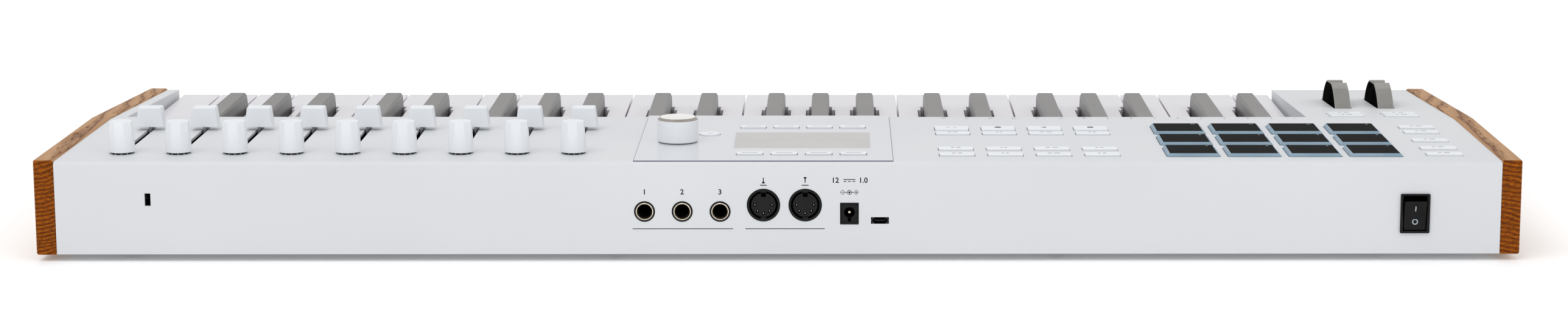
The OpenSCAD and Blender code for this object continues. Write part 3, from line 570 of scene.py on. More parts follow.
def make_cheek(name, node, material):
    low, high = corners(node)
    cheek = block(name, low, high)
    slice_at(cheek, (0, at(BEND_T), 0), (0, 1, 0))
    nudge(cheek, lambda p: p.y < FRONT_Y + 1 and p.z > DECK_Z, (0, 0, -SLOPE_DROP))
    ease(cheek, 1.3, 5, 20)
    paint(cheek, material)
    mount(cheek, "root", "timber", node)


def make_feet():
    """Round feet with a rolled lower edge and a dished middle."""
    spots = solids("rubber_feet")
    low, high = spots[0]
    x, y, _ = midpoint(low, high)
    r, h = (high.x - low.x) / 2, high.z - low.z
    outline = [(0, h), (r, h), (r, 1.2), (r - 0.3, 0.4), (r - 1, 0), (r - 3, 0), (r - 3.6, 0.5), (0, 0.5)]
    foot = turned("foot_1", outline, (x, y, 0), "z", 48)
    soften(foot)
    paint(foot, FOOT_BLACK)
    feet = [foot]
    for k, spot in enumerate(spots[1:], 2):
        feet.append(copied(foot, f"foot_{k}", (spot[0].x - low.x, spot[0].y - low.y, 0)))
    for piece in feet:
        mount(piece, "root", "foot_rubber", "rubber_feet")


# ---- keys ----
# A white key ends at KEY_TAIL_T, is hollow from its lip to SLOT_T, and keeps SIDE_ROOM clear of a black
# key's side, or DEEP_ROOM from DEEP_T to the rear.
NOTES = ["c", "c_sharp", "d", "d_sharp", "e", "f", "f_sharp", "g", "g_sharp", "a", "a_sharp", "b"]
KEY_TAIL_T = 144.0
SKIRT = 10.0
LIP_TH = 2.2
KEY_WALL = 1.6
SLOT_T = 149.5
SIDE_ROOM = 1.45
DEEP_ROOM = 3.4
DEEP_T = 245.0
BLACKS = [b for n in NOTES if "sharp" in n for b in solids("key_" + n)]


def key_lever(name, x, top):
    """The arm behind a key, which ends in a round eye on the pivot rail."""
    lever = block(name, (x - 4, at(KEY_TAIL_T) - 2, top - 10.2), (x + 4, at(88), top - 2.2))
    round_lines(lever, lambda p, d: abs(d.x) > 0.9 and p.y > at(89), 3.9, 6)
    return lever


def make_white_key(name, box):
    """A white key: long top, front lip, and a narrower tail where black keys stand beside it."""
    low, high = box
    key = block(name, (low.x, low.y, high.z - SKIRT), (high.x, at(KEY_TAIL_T), high.z))
    slice_at(key, (0, low.y + LIP_TH, 0), (0, 1, 0))
    pull(key, lambda p, n: n.z < -0.9 and p.y < low.y + LIP_TH, (0, 0, low.z - (high.z - SKIRT)))
    centre = (low.x + high.x) / 2
    cutters = []
    for b_low, b_high in BLACKS:
        middle = (b_low.x + b_high.x) / 2
        notch_y = b_low.y - 1.2
        for side in (-1, 1):
            if abs(middle - (low.x if side < 0 else high.x)) > 6:
                continue
            edge = middle - side * ((b_high.x - b_low.x) / 2 + SIDE_ROOM)
            deep = middle - side * ((b_high.x - b_low.x) / 2 + DEEP_ROOM)
            far = centre + side * 20
            cutters.append(block("notch", (min(edge, far), notch_y, 0), (max(edge, far), at(100), 60)))
            cutters.append(block("notch", (min(deep, far), at(DEEP_T), 0), (max(deep, far), at(100), 60)))
    slots = [(b[0].x + b[1].x) / 2 for b in BLACKS if abs((b[0].x + b[1].x) / 2 - centre) < 24]
    left = max([low.x] + [middle + 6.8 for middle in slots if middle < centre])
    right = min([high.x] + [middle - 6.8 for middle in slots if middle > centre])
    # moulded keys are hollow from below, and the bed's guides stand in the hollow
    neck = BLACKS[0][0].y - 1.2 - KEY_WALL
    roof = high.z - LIP_TH
    cutters.append(block("hollow", (low.x + KEY_WALL, low.y + LIP_TH, 0), (high.x - KEY_WALL, neck, roof)))
    cutters.append(block("hollow", (left + 2 * KEY_WALL, neck - 1, 0),
                         (right - 2 * KEY_WALL, at(SLOT_T), roof)))
    carve(key, *cutters)
    ease(key, 0.5, 3)
    lever = key_lever("lever", (left + right) / 2, high.z)
    soften(lever)
    key = weld(name, key, lever)
    paint(key, KEY_WHITE)
    return key


def make_black_key(name, box):
    """A black key: chamfered top edges and a raked front."""
    low, high = box
    top = high.z
    x, half = (low.x + high.x) / 2, (high.x - low.x) / 2
    key = block(name, (low.x, low.y, top - 19.4), (high.x, at(151.2), top))
    slice_at(key, (0, 0, top - 2), (0, 0, 1))
    slice_at(key, (0, 0, top - 7.5), (0, 0, 1))
    stretch(key, lambda p: p.z > top - 0.1, ((half - 0.8) / half, 1, 1), (x, 0, top))
    nudge(key, lambda p: p.z > top - 0.1 and p.y < low.y + 1, (0, 4, 0))
    nudge(key, lambda p: abs(p.z - top + 2) < 0.1 and p.y < low.y + 1, (0, 2.93, 0))
    ease(key, 0.7, 4, 15)
    lever = key_lever("lever", x, corners("key_c")[1].z)
    soften(lever)
    key = weld(name, key, lever)
    paint(key, KEY_GREY)
    return key


def make_keys():
    """Each note name is modelled once and copied to its octaves; the topmost C has no black key above."""
    for note in NOTES:
        node = "key_" + note
        sharp = "sharp" in note
        boxes = solids(node)
        maker, slot = (make_black_key, "grey_key") if sharp else (make_white_key, "white_key")
        first = maker(f"{node}_1", boxes[0] if note != "c" else boxes[1])
        keys = [first]
        for k, box in enumerate(boxes):
            if note == "c" and k in (0, len(boxes) - 1):
                keys.append(maker(f"{node}_end_{k}", box))
            elif (k != 0 and note != "c") or (note == "c" and k > 1):
                start = boxes[1 if note == "c" else 0]
                keys.append(copied(first, f"{node}_{k + 1}", (box[0].x - start[0].x, 0, 0)))
        for key in keys:
            mount(key, node, slot, node)


# ---- controls ----
# Width of the hidden rim that holds a pad or a button under the deck.
FLANGE = 1.2
KNOB_COUNT = 9


def pressed_blank(name, low, high, corner, edge, segments=3):
    """A pressed piece: rounded outline corners, then eased top edges."""
    piece = block(name, low, high)
    round_lines(piece, lambda p, d: abs(d.z) > 0.9, corner, 6)
    round_lines(piece, lambda p, d: p.z > high[2] - 0.01 and abs(d.z) < 0.1, edge, segments)
    soften(piece)
    even_out(piece)
    return piece


def make_knobs():
    """Tapered knob with eight flats that fade into a round rim, over a toothed collar."""
    low, high = corners("knob_1")
    x, y, _ = midpoint(low, high)
    base, foot_r, top_r, flat_r, rim = DECK_Z + 1.1, 7.0, 6.35, 5.72, 2.2
    height = high.z - base
    knob = drum("knob_1", (x, y, base + height / 2), foot_r, height, "z", 96, top_r)
    for k in range(8):
        angle = math.radians(45 * k)
        side = Vector((math.cos(angle), math.sin(angle), 0))
        normal = (side * (height - rim) + Vector((0, 0, foot_r - flat_r))).normalized()
        slice_at(knob, Vector((x, y, base + rim)) + side * foot_r, normal, True)
    ease(knob, 0.28, 3, 15)
    paint(knob, CAP_WHITE)
    shaft = drum("shaft", (x, y, DECK_Z - 2), 3.0, 8, "z", 32)
    soften(shaft)
    paint(shaft, ZINC)
    knob = weld("knob_1", knob, shaft)
    for k in range(1, KNOB_COUNT + 1):
        node = f"knob_{k}"
        piece = knob if k == 1 else copied(knob, node, shift_of(node, "knob_1"))
        mount(piece, node, "cap_plastic", node)
    foot = DECK_Z + 0.01
    outline = [(4.4, foot), (5.7, foot), (5.7, DECK_Z + 0.6), (5.4, DECK_Z + 0.8), (4.4, DECK_Z + 0.8),
               (4.4, foot)]
    collar = turned("knob_collar_1", outline, (x, y, 0), "z", 48)
    soften(collar)
    paint(collar, BLACK_ABS)
    tooth = block("tooth", (x + 5.5, y - 0.34, foot), (x + 6.35, y + 0.34, DECK_Z + 0.72))
    ease(tooth, 0.1, 2)
    paint(tooth, ZINC)
    teeth = [copied(tooth, f"tooth_{k}", about=(x, y, 0), turn=math.radians(30 * k + 8), axis="Z")
             for k in range(12)]
    bpy.data.objects.remove(tooth)
    collar = weld("knob_collar_1", collar, *teeth)
    for k in range(1, KNOB_COUNT + 1):
        piece = collar if k == 1 else copied(collar, f"knob_collar_{k}", shift_of(f"knob_{k}", "knob_1"))
        mount(piece, "root", "zinc_steel")


def make_faders():
    """Tapered cap on a forked steel stem."""
    low, high = corners("fader_1")
    x, y, _ = midpoint(low, high)
    bottom = high.z - 11.3
    cap = block("fader_cap_1", (low.x, y - 5, bottom), (high.x, y + 5, high.z))
    half = (high.x - low.x) / 2
    stretch(cap, lambda p: p.z > high.z - 0.1, ((half - 1.3) / half, 4.35 / 5, 1), (x, y, high.z))
    round_lines(cap, lambda p, d: abs(d.z) > 0.9, 1.1, 5)
    round_lines(cap, lambda p, d: p.z > high.z - 0.1 and abs(d.z) < 0.2, 0.9, 5)
    round_lines(cap, lambda p, d: p.z < bottom + 0.1 and abs(d.z) < 0.2, 0.4, 3)
    soften(cap)
    even_out(cap)
    paint(cap, CAP_WHITE)
    stem = block("fader_stem_1", (x - 0.7, y - 4.3, low.z), (x + 0.7, y + 4.3, bottom + 2))
    carve(stem, block("gap", (x - 3, y - 1.5, DECK_Z - 1), (x + 3, y + 1.5, bottom + 4)))
    ease(stem, 0.15, 2)
    carrier = block("carrier", (x - 3.4, y - 4, low.z), (x + 3.4, y + 4, low.z + 2.5))
    ease(carrier, 0.3, 2)
    stem = weld("fader_stem_1", stem, carrier)
    paint(stem, ZINC)
    for k in range(1, KNOB_COUNT + 1):
        node = f"fader_{k}"
        for piece, slot in ((cap, "cap_plastic"), (stem, "zinc_steel")):
            twin = piece if k == 1 else copied(piece, piece.name[:-1] + str(k), shift_of(node, "fader_1"))
            mount(twin, node, slot, node)


def make_dial():
    """White dial with a polished chamfer ring and a smooth cream top."""
    low, high = corners("main_dial")
    x, y, _ = midpoint(low, high)
    r = (high.x - low.x) / 2
    base = corners("display_glass")[1].z + 0.45
    top = high.z
    centre = (x, y, 0)
    skirt = turned("dial_skirt", [
        (0, base), (r - 0.4, base), (r, base + 0.5), (r, top - 1.55), (r - 0.1, top - 1.45), (0, top - 1.45)],
        centre, "z", 96)
    ring = turned("dial_ring", [
        (r - 3, top - 1.44), (r - 0.12, top - 1.44), (r - 0.1, top - 1.3), (r - 1.25, top - 0.12),
        (r - 1.5, top - 0.1), (r - 3, top - 0.5)], centre, "z", 96)
    cap = turned("dial_top", [
        (0, top - 0.9), (r - 1.55, top - 0.9), (r - 1.55, top - 0.2), (r - 1.8, top), (r - 4, top - 0.12),
        (0, top - 0.3)], centre, "z", 96)
    shaft = drum("dial_shaft", (x, y, base - 4), 3.0, 10, "z", 32)
    for piece, material, slot in ((skirt, CAP_WHITE, "cap_plastic"), (ring, CHROME, "nickel"),
                                  (cap, DIAL_CREAM, "cap_plastic"), (shaft, ZINC, "zinc_steel")):
        soften(piece)
        paint(piece, material)
        mount(piece, "main_dial", slot, "main_dial")


def make_pads():
    """Black pad face set in a clear skirt, painted pale blue for its backlight glow, that slopes up round it."""
    boxes = solids("pads")
    low, high = boxes[0]
    x0, y0, x1, y1 = low.x + FLANGE, low.y + FLANGE, high.x - FLANGE, high.y - FLANGE
    x, y, _ = midpoint(low, high)
    top = high.z - 0.1
    skirt = block("pad_skirt_1", (x0, y0, DECK_Z - 2), (x1, y1, top))
    round_lines(skirt, lambda p, d: abs(d.z) > 0.9, 1.3, 5)
    slice_at(skirt, (0, 0, DECK_Z + 0.35), (0, 0, 1))
    lean = (1 - 2.4 / (x1 - x0), 1 - 2.0 / (y1 - y0), 1)
    stretch(skirt, lambda p: p.z > top - 0.1, lean, (x, y, top))
    ease(skirt, 0.3, 3)
    # painted light: the skirt's pale blue stands for the backlight glowing through it
    paint(skirt, PAD_GLOW_BLUE)
    face = pressed_blank("pad_face_1", (x0 + 1.45, y0 + 1.25, DECK_Z), (x1 - 1.45, y1 - 1.25, high.z),
                         0.5, 0.2)
    paint(face, PAD_BLACK)
    for k, box in enumerate(boxes):
        shift = (box[0].x - low.x, box[0].y - low.y, 0)
        for piece, slot in ((skirt, "pad_rubber"), (face, "pad_rubber")):
            twin = piece if k == 0 else copied(piece, piece.name[:-1] + str(k + 1), shift)
            mount(twin, "pads", slot, "pads")


BUTTON_SINK = Vector((0, 0, 0.5))
SLOPE_BUTTON_HALF = 4.2
SLOPE_BUTTON_RISE = 0.9


def button_boxes(node):
    """Boxes of a group of buttons, whose caps stand half a millimetre lower than the room kept for them."""
    return [(low, high - BUTTON_SINK) for low, high in solids(node)]


def make_buttons():
    """Satin caps with eased edges; one is modelled for each size."""
    for node, flange in (("panel_buttons", FLANGE), ("side_buttons", FLANGE), ("display_buttons", 0.0)):
        made = {}
        for k, (low, high) in enumerate(button_boxes(node)):
            sloped = node == "side_buttons" and (low.y + high.y) / 2 < at(BEND_T)
            rim = 0.0 if sloped else flange
            x0, y0, x1, y1 = low.x + rim, low.y + rim, high.x - rim, high.y - rim
            size = (round(x1 - x0, 1), round(y1 - y0, 1), sloped)
            name = f"{node[:-1]}_{k + 1}"
            if size in made:
                start, shift_from = made[size]
                piece = copied(start, name, (x0 - shift_from.x, y0 - shift_from.y, low.z - shift_from.z))
            elif node == "display_buttons" and abs((x1 - x0) - (y1 - y0)) < 0.5:
                r = (x1 - x0) / 2
                outline = [(0, DECK_Z - 1), (r, DECK_Z - 1), (r, high.z - 0.4), (r - 0.12, high.z - 0.12),
                           (r - 0.4, high.z), (r - 2.2, high.z - 0.15), (0, high.z - 0.3)]
                piece = turned(name, outline, ((x0 + x1) / 2, (y0 + y1) / 2, 0), "z", 64)
                soften(piece)
            elif sloped:
                t = REAR_Y - (y0 + y1) / 2
                piece = pressed_blank(name, (x0, at(t) - SLOPE_BUTTON_HALF, DECK_Z - 1.2),
                                      (x1, at(t) + SLOPE_BUTTON_HALF, DECK_Z + SLOPE_BUTTON_RISE), 1.0, 0.25)
                laid_on_slope(piece, t)
            else:
                piece = pressed_blank(name, (x0, y0, DECK_Z - 1.2), (x1, y1, high.z), 1.0, 0.25)
            made.setdefault(size, (piece, Vector((x0, y0, low.z))))
            paint(piece, CAP_WHITE)
            mount(piece, node, "cap_plastic", node)


# ---- display cover ----
def make_cover():
    """Glossy cover with its button and dial holes, and a grey screen window in its face."""
    low, high = corners("display_glass")
    cover = block("display_cover", low, high)
    deep, tall = low.z - 1, high.z + 1
    cutters = []
    for b_low, b_high in solids("display_buttons"):
        x0, x1, y0, y1 = b_low.x - 0.4, b_high.x + 0.4, b_low.y - 0.4, b_high.y + 0.4
        if abs((x1 - x0) - (y1 - y0)) < 0.5:
            cutters.append(drum("hole", ((x0 + x1) / 2, (y0 + y1) / 2, high.z), (x1 - x0) / 2, 6, "z", 64))
        else:
            hole = block("hole", (x0, y0, deep), (x1, y1, tall))
            round_lines(hole, lambda p, d: abs(d.z) > 0.9, 1.2, 5)
            cutters.append(hole)
    dial = midpoint(*corners("main_dial"))
    cutters.append(drum("hole", (dial.x, dial.y, high.z), 4.2, 6, "z", 48))
    carve(cover, *cutters)
    ease(cover, 0.12, 2)
    centre, rim = midpoint(low, high), (high - low) / 2 - mm(0.15, 0.15, 0) / MM
    # the outer sides of the cover, below its top face, take the darker violet grey
    paint(cover, COVER_WHITE, COVER_EDGE, where=[(1, lambda p, n: abs(n.z) < 0.3 and p.z < high.z - 0.35 and (
        abs(p.x - centre.x) > rim.x or abs(p.y - centre.y) > rim.y))])
    mount(cover, "root", "display_cover", "display_glass")
    m_low, m_high = corners("lcd_module")
    x, y, _ = midpoint(m_low, m_high)
    half_w, half_d, line = (m_high.x - m_low.x) / 2 - 2.0, (m_high.y - m_low.y) / 2 - 2.0, 0.5
    window = block("screen_window", (x - half_w, y - half_d, high.z - 0.05),
                   (x + half_w, y + half_d, high.z + 0.02))
    step_in(window, lambda p, n: n.z > 0.9, line)
    paint(window, SCREEN_GREY, INK_SILVER, where=[(1, lambda p, n: n.z > 0.9 and (
        abs(p.x - x) > half_w - line or abs(p.y - y) > half_d - line))])
    mount(window, "root", "screen")


# ---- wheels ----
# The notch is an arc of NOTCH_R about a point NOTCH_OUT from the axle, met by the rim in lips of LIP_R.
# The hidden flat lies at WHEEL_CUT from the axle, and the ribs start RIB_FROM degrees behind the top.
WHEEL_R = 29.5
RIBS, RIB_FROM, RIB_STEP = 17, 28.0, 1.8
NOTCH_R, NOTCH_OUT, LIP_R = 8.0, 32.0, 1.9
WHEEL_CUT = -13.9


def wheel_outline(axle, shrink):
    """Outline of the wheel as (y, z) points: rim, rounded lips, thumb notch, and a flat hidden below."""
    rim, notch, lip = WHEEL_R - shrink, NOTCH_R + shrink, LIP_R - shrink
    reach = rim - lip
    turn = math.acos((reach ** 2 + NOTCH_OUT ** 2 - (notch + lip) ** 2) / (2 * reach * NOTCH_OUT))
    end = math.acos((WHEEL_CUT + shrink) / rim)
    angles = [turn + (end - turn) * k / 60 for k in range(61)]
    points = [(rim * math.sin(a), rim * math.cos(a)) for a in angles]
    points += [(-across, up) for across, up in reversed(points)]
    centre = Vector((-reach * math.sin(turn), reach * math.cos(turn)))
    notch_side = math.atan2(NOTCH_OUT - centre.y, -centre.x)
    start = math.pi / 2 + turn
    lip_arc = [centre + lip * Vector((math.cos(a), math.sin(a)))
               for a in (start + (notch_side - start) * k / 8 for k in range(1, 9))]
    bottom = math.pi + notch_side
    sweep = 2 * (3 * math.pi / 2 - bottom)
    notch_arc = [Vector((0, NOTCH_OUT)) + notch * Vector((math.cos(a), math.sin(a)))
                 for a in (bottom + sweep * k / 28 for k in range(1, 28))]
    points += [tuple(p) for p in lip_arc + notch_arc]
    points += [(-p.x, p.y) for p in reversed(lip_arc)]
    lean = Matrix.Rotation(SLOPE, 2)
    return [tuple(Vector((axle.y, axle.z)) + lean @ Vector(p)) for p in points]


def make_wheels():
    """Soft-touch wheel: a grey band runs round the rim and down into a thumb notch, its sides are
    black and recessed and darkened further with painted shade, and fine ribs are moulded low on its rear."""
    low, high = corners("mod_wheel")
    x, y, z = axle = axle_of("mod_wheel")
    half = (high.x - low.x) / 2
    wheel = plate("mod_wheel_rim", wheel_outline(axle, 0), x - half, x + half)
    inner = wheel_outline(axle, 1.0)
    carve(wheel, plate("side", inner, x - half - 2, x - half + 0.8),
          plate("side", inner, x + half - 0.8, x + half + 2))
    round_lines(wheel, lambda p, d: abs(abs(p.x - x) - half) < 0.02 and abs(d.x) < 0.1, 0.25, 3)
    soften(wheel)
    side = half - 0.3
    # painted shade: the recessed sides take the darker shade black
    paint(wheel, SOFT_GREY, BLACK_SHADE, where=[(1, lambda p, n: abs(p.x - x) < side and abs(n.x) > 0.2)])
    rib = drum("rib", (x, y, z + WHEEL_R - 0.1), 0.3, 2 * half - 1.2, "x", 10)
    ribs = [copied(rib, f"rib_{k}", about=axle, turn=-math.radians(RIB_FROM + RIB_STEP * k))
            for k in range(RIBS)]
    bpy.data.objects.remove(rib)
    grip = weld("ribs", *ribs)
    soften(grip)
    paint(grip, SOFT_GREY)
    wheel = weld("mod_wheel_rim", wheel, grip)
    mount(wheel, "mod_wheel", "wheel_grey", "mod_wheel")
    pitch = copied(wheel, "pitch_wheel_rim", shift_of("pitch_wheel", "mod_wheel"))
    mount(pitch, "pitch_wheel", "wheel_grey", "pitch_wheel")


# ---- rear panel ----
MOUNTS = {m["name"]: Vector(m["pos_m"]) / MM for m in frame["record"]["mounts"]}


def make_jacks():
    """Jack: black collar, bright funnel and a deep bore in a moulded body."""
    spots = [MOUNTS[f"jack_{k}"] for k in (1, 2, 3)]
    first = spots[0]
    x, z = first.x, first.z
    y = REAR_Y
    collar = turned("jack_collar_1", [
        (4.75, y - 1.8), (5.36, y - 1.8), (5.36, y + 0.25), (5.15, y + 0.48), (4.85, y + 0.5),
        (4.75, y + 0.35), (4.75, y - 1.8)], (x, 0, z), "y", 64)
    funnel = turned("jack_funnel_1", [
        (4.74, y - 1.8), (4.74, y + 0.3), (4.5, y + 0.42), (4.2, y + 0.3), (3.55, y - 0.7), (3.3, y - 1.4),
        (3.3, y - 1.8), (4.74, y - 1.8)], (x, 0, z), "y", 64)
    # painted shade: the bore takes the darker shade black, for the shade deep in the socket
    well = turned("jack_well_1", [
        (4.7, y - 1.9), (3.35, y - 1.9), (3.3, y - 30), (0, y - 30), (0, y - 31), (4.7, y - 31),
        (4.7, y - 1.9)], (x, 0, z), "y", 48)
    for piece, material, slot in ((collar, BLACK_ABS, "black_plastic"), (funnel, NICKEL, "nickel"),
                                  (well, BLACK_SHADE, "black_plastic")):
        soften(piece)
        paint(piece, material)
        for k, spot in enumerate(spots):
            twin = piece if k == 0 else copied(piece, piece.name[:-1] + str(k + 1), (spot.x - x, 0, 0))
            mount(twin, "root", slot, "jack_sockets")


def make_round_sockets():
    """Five-pin socket: dished collar, a ring groove round the core, key tabs and pin holes."""
    spots = [MOUNTS["midi_in"], MOUNTS["midi_out"]]
    x, z = spots[0].x, spots[0].z
    y = REAR_Y
    shell = turned("din_shell_1", [
        (0, y - 14), (8.7, y - 14), (8.7, y + 0.2), (8.45, y + 0.48), (7.9, y + 0.5), (7.65, y + 0.2),
        (7.55, y - 8), (6.75, y - 8), (6.7, y - 0.5), (6.5, y - 0.35), (0, y - 0.45)], (x, 0, z), "y", 72)
    angles = [math.radians(180 + 45 * k) for k in range(5)]
    pin_spots = [(x + 4.6 * math.cos(a), z + 4.6 * math.sin(a)) for a in angles]
    holes = [drum("pin_hole", (px, y - 3, pz), 0.85, 6, "y", 20) for px, pz in pin_spots]
    slot_blank = block("key_slot", (x - 1.3, y - 4, z + 4.4), (x + 1.3, y + 2, z + 7.2))
    carve(shell, slot_blank, *holes)
    ease(shell, 0.1, 2, 40)
    # painted shade: the socket's inside and the walls of its ring groove take the darker shade black
    paint(shell, BLACK_ABS, BLACK_SHADE, where=[(1, lambda p, n: p.y < y - 0.9 or (
        abs(n.y) < 0.5 and math.hypot(p.x - x, p.z - z) < 7.7))])
    outline = [(0, y - 5), (0.42, y - 5), (0.42, y - 1.1), (0.25, y - 0.8), (0, y - 0.7)]
    pins = [turned("pin", outline, (px, 0, pz), "y", 12) for px, pz in pin_spots]
    contacts = weld("din_pins_1", *pins)
    soften(contacts)
    paint(contacts, NICKEL)
    tabs = []
    for low, high in ((-8.1, -6.6), (6.9, 8.1)):
        tab = block("tab", (x - 1.5, y - 0.6, z + low), (x + 1.5, y + 0.3, z + high))
        ease(tab, 0.15, 2)
        tabs.append(tab)
    lugs = weld("din_lugs_1", *tabs)
    paint(lugs, BLACK_ABS)
    for piece, slot in ((shell, "black_plastic"), (contacts, "nickel"), (lugs, "black_plastic")):
        for k, spot in enumerate(spots):
            twin = piece if k == 0 else copied(piece, piece.name[:-1] + str(k + 1), (spot.x - x, 0, 0))
            mount(twin, "root", slot, "midi_sockets")


def make_power_and_data():
    """Square power inlet with a recess and centre pin; oval data port."""
    spot = MOUNTS["power_inlet"]
    x, z, y = spot.x, spot.z, REAR_Y
    inlet = block("power_inlet", (x - 4.75, y - 14, z - 5.65), (x + 4.75, y + 0.5, z + 5.65))
    step_in(inlet, lambda p, n: n.y > 0.9, 0.5)
    step_in(inlet, lambda p, n: n.y > 0.9 and abs(p.x - x) < 1 and abs(p.z - z) < 1, 0.25, 0.5)
    bore_z = z + 0.6
    carve(inlet, drum("bore", (x, y - 3, bore_z), 2.9, 16, "y", 48),
          block("notch", (x - 0.9, y - 4, z - 4.4), (x + 0.9, y + 2, z)))
    ease(inlet, 0.15, 2)
    # painted shade: the faces inside the bore take the darker shade black
    paint(inlet, BLACK_ABS, BLACK_SHADE, where=[(1, lambda p, n: (
        p.y < y - 0.4 and math.hypot(p.x - spot.x, p.z - spot.z) < 4.6))])
    outline = [(0, y - 11), (0.95, y - 11), (0.95, y - 1.6), (0.6, y - 1.1), (0, y - 1.0)]
    pin = turned("power_pin", outline, (x, 0, bore_z), "y", 24)
    soften(pin)
    paint(pin, NICKEL)
    mount(inlet, "root", "black_plastic", "power_socket")
    mount(pin, "root", "nickel", "power_socket")
    spot = MOUNTS["usb_port"]
    x, z = spot.x, spot.z
    port = block("data_port", (x - 4.55, y - 8, z - 1.55), (x + 4.55, y - 0.05, z + 1.55))
    round_lines(port, lambda p, d: abs(d.y) > 0.9, 1.54, 8)
    step_in(port, lambda p, n: n.y > 0.9, 0.3)
    step_in(port, lambda p, n: n.y > 0.9 and abs(p.x - x) < 0.5, 0.02, 6.5)
    soften(port)
    # painted shade: the inner faces of the metal shell are painted the shade black
    paint(port, NUT_METAL, BLACK_SHADE, where=[(1, lambda p, n: (
        p.y < y - 0.1 and abs(p.x - x) < 4.3 and abs(p.z - z) < 1.3))])
    tongue = block("data_tongue", (x - 3.3, y - 7.5, z - 0.35), (x + 3.3, y - 1.0, z + 0.35))
    ease(tongue, 0.12, 2)
    paint(tongue, BLACK_ABS)
    mount(port, "root", "nickel", "usb_socket")
    mount(tongue, "root", "black_plastic", "usb_socket")


def make_switch():
    """Bezel that slopes in to its well, and a two-sided rocker with its marks."""
    low, high = corners("switch_housing")
    x, _, z = midpoint(low, high)
    y = REAR_Y
    bezel = block("switch_bezel", (low.x, y - 1.2, low.z), (high.x, high.y, high.z))
    round_lines(bezel, lambda p, d: abs(d.y) > 0.9, 0.6, 4)
    step_in(bezel, lambda p, n: n.y > 0.9, 0.45)
    carve(bezel, block("well", (x - 6.35, y - 5, z - 9.55), (x + 6.35, y + 3, z + 9.55)))
    editing(bezel, "EDGE", lambda p, d: p.y > high.y - 0.02 and abs(p.x - x) < 6.4 and abs(p.z - z) < 9.6)
    bpy.ops.mesh.bevel(offset=0.55 * MM, segments=1, affect="EDGES")
    done()
    ease(bezel, 0.12, 2)
    paint(bezel, BLACK_ABS)
    well = block("switch_body", (low.x + 1, low.y, low.z + 1), (high.x - 1, y - 1.0, high.z - 1))
    step_in(well, lambda p, n: n.y > 0.9, 0.3)
    carve(well, block("well", (x - 6.3, y - 9.0, z - 9.5), (x + 6.3, y + 3, z + 9.5)))
    ease(well, 0.2, 2)
    # painted shade: the switch body inside the well takes the darker shade black
    paint(well, BLACK_SHADE)
    mount(bezel, "root", "black_plastic", "switch_housing")
    mount(well, "root", "black_plastic", "switch_housing")
    pivot = axle_of("power_rocker")
    tilt, face, reach, dip = math.radians(-10), 5.66, 8.4, 1.2
    rocker = block("rocker", (x - 6, pivot.y - 3, z - reach), (x + 6, pivot.y + face, z + reach))
    slice_at(rocker, (0, 0, z), (0, 0, 1))
    nudge(rocker, lambda p: abs(p.z - z) < 0.1 and p.y > pivot.y, (0, -dip, 0))
    stretch(rocker, lambda p: p.y < pivot.y - 2.9, (1, 1, 0.36), (x, pivot.y - 3, z))
    round_lines(rocker, lambda p, d: abs(d.x) > 0.9 and abs(p.z - z) < 0.1 and p.y > pivot.y, 4.5, 10)
    ease(rocker, 0.6, 5, 25)
    paint(rocker, BLACK_SATIN)
    # the two marks lie on the faces either side of the bend
    rake = math.atan2(dip, reach)
    base, level = pivot.y + face - 0.5, pivot.y + face + 0.11
    on_mark = block("on_mark", (x - 0.3, base, z + 2.2), (x + 0.3, level, z + 5.2))
    off_mark = turned("off_mark", [(1.05, base), (1.6, base), (1.6, level), (1.05, level), (1.05, base)],
                      (x, 0, z - 3.6), "y", 36)
    for mark, side in ((on_mark, 1), (off_mark, -1)):
        mark.data.transform(turn_about((x, level, z + side * reach), -side * rake, "X"))
        soften(mark)
        paint(mark, INK_PALE)
    rocker = weld("rocker", rocker, on_mark, off_mark)
    rocker.data.transform(turn_about(pivot, tilt, "X"))
    mount(rocker, "power_rocker", "black_plastic", "power_rocker")


# ---- printed marks ----
def flat_text(text, size, place, facing="up", weight=0.05):
    """Printed figures, centred at place, read from the keys when facing up or from behind when rear."""
    bpy.ops.object.select_all(action="DESELECT")
    bpy.ops.object.text_add()
    obj = bpy.context.object
    obj.data.body = text
    obj.data.size = size * MM
    obj.data.align_x, obj.data.align_y = "CENTER", "CENTER"
    obj.data.resolution_u = 3
    obj.data.offset = weight * MM
    bpy.ops.object.convert(target="MESH")
    obj = bpy.context.object
    stand_up = Matrix.Rotation(math.pi, 4, "Z") @ Matrix.Rotation(math.pi / 2, 4, "X")
    turn = stand_up if facing == "rear" else Matrix.Identity(4)
    obj.data.transform(Matrix.Translation(mm(*place)) @ turn)
    return obj


def flat_bar(x, y, z, w, d, facing="up"):
    """A printed line or dash."""
    if facing == "up":
        return block("dash", (x - w / 2, y - d / 2, z - 0.01), (x + w / 2, y + d / 2, z + 0.02))
    return block("dash", (x - w / 2, y - 0.01, z - d / 2), (x + w / 2, y + 0.02, z + d / 2))


def flat_disc(x, y, z, r, sides=32, turn=0.0):
    """A printed disc, or a triangle with three sides."""
    disc = drum("disc", (x, y, z), r, 0.03, "z", sides)
    disc.data.transform(turn_about((x, y, z), turn, "Z"))
    return disc


def flat_ring(x, z, inner, outer, sides):
    """A printed ring on the rear panel, or a diamond with four sides."""
    y = REAR_Y + 0.02
    outline = [(inner, y - 0.03), (outer, y - 0.03), (outer, y), (inner, y), (inner, y - 0.03)]
    return turned("ring", outline, (x, 0, z), "y", sides)


def dash_pair(x, y, z, first, second, height, gap):
    """Two dashes side by side in place of a word, the first ending and the second starting at gap."""
    return [flat_bar(x - gap[0] - first / 2, y, z, first, height),
            flat_bar(x + gap[1] + second / 2, y, z, second, height)]


def printed(name, ink, body, pieces):
    """Joins marks into one printed layer."""
    layer = weld(name, *pieces)
    paint(layer, ink)
    mount(layer, body, {"root": "case_paint", "pads": "pad_rubber"}.get(body, "cap_plastic"))


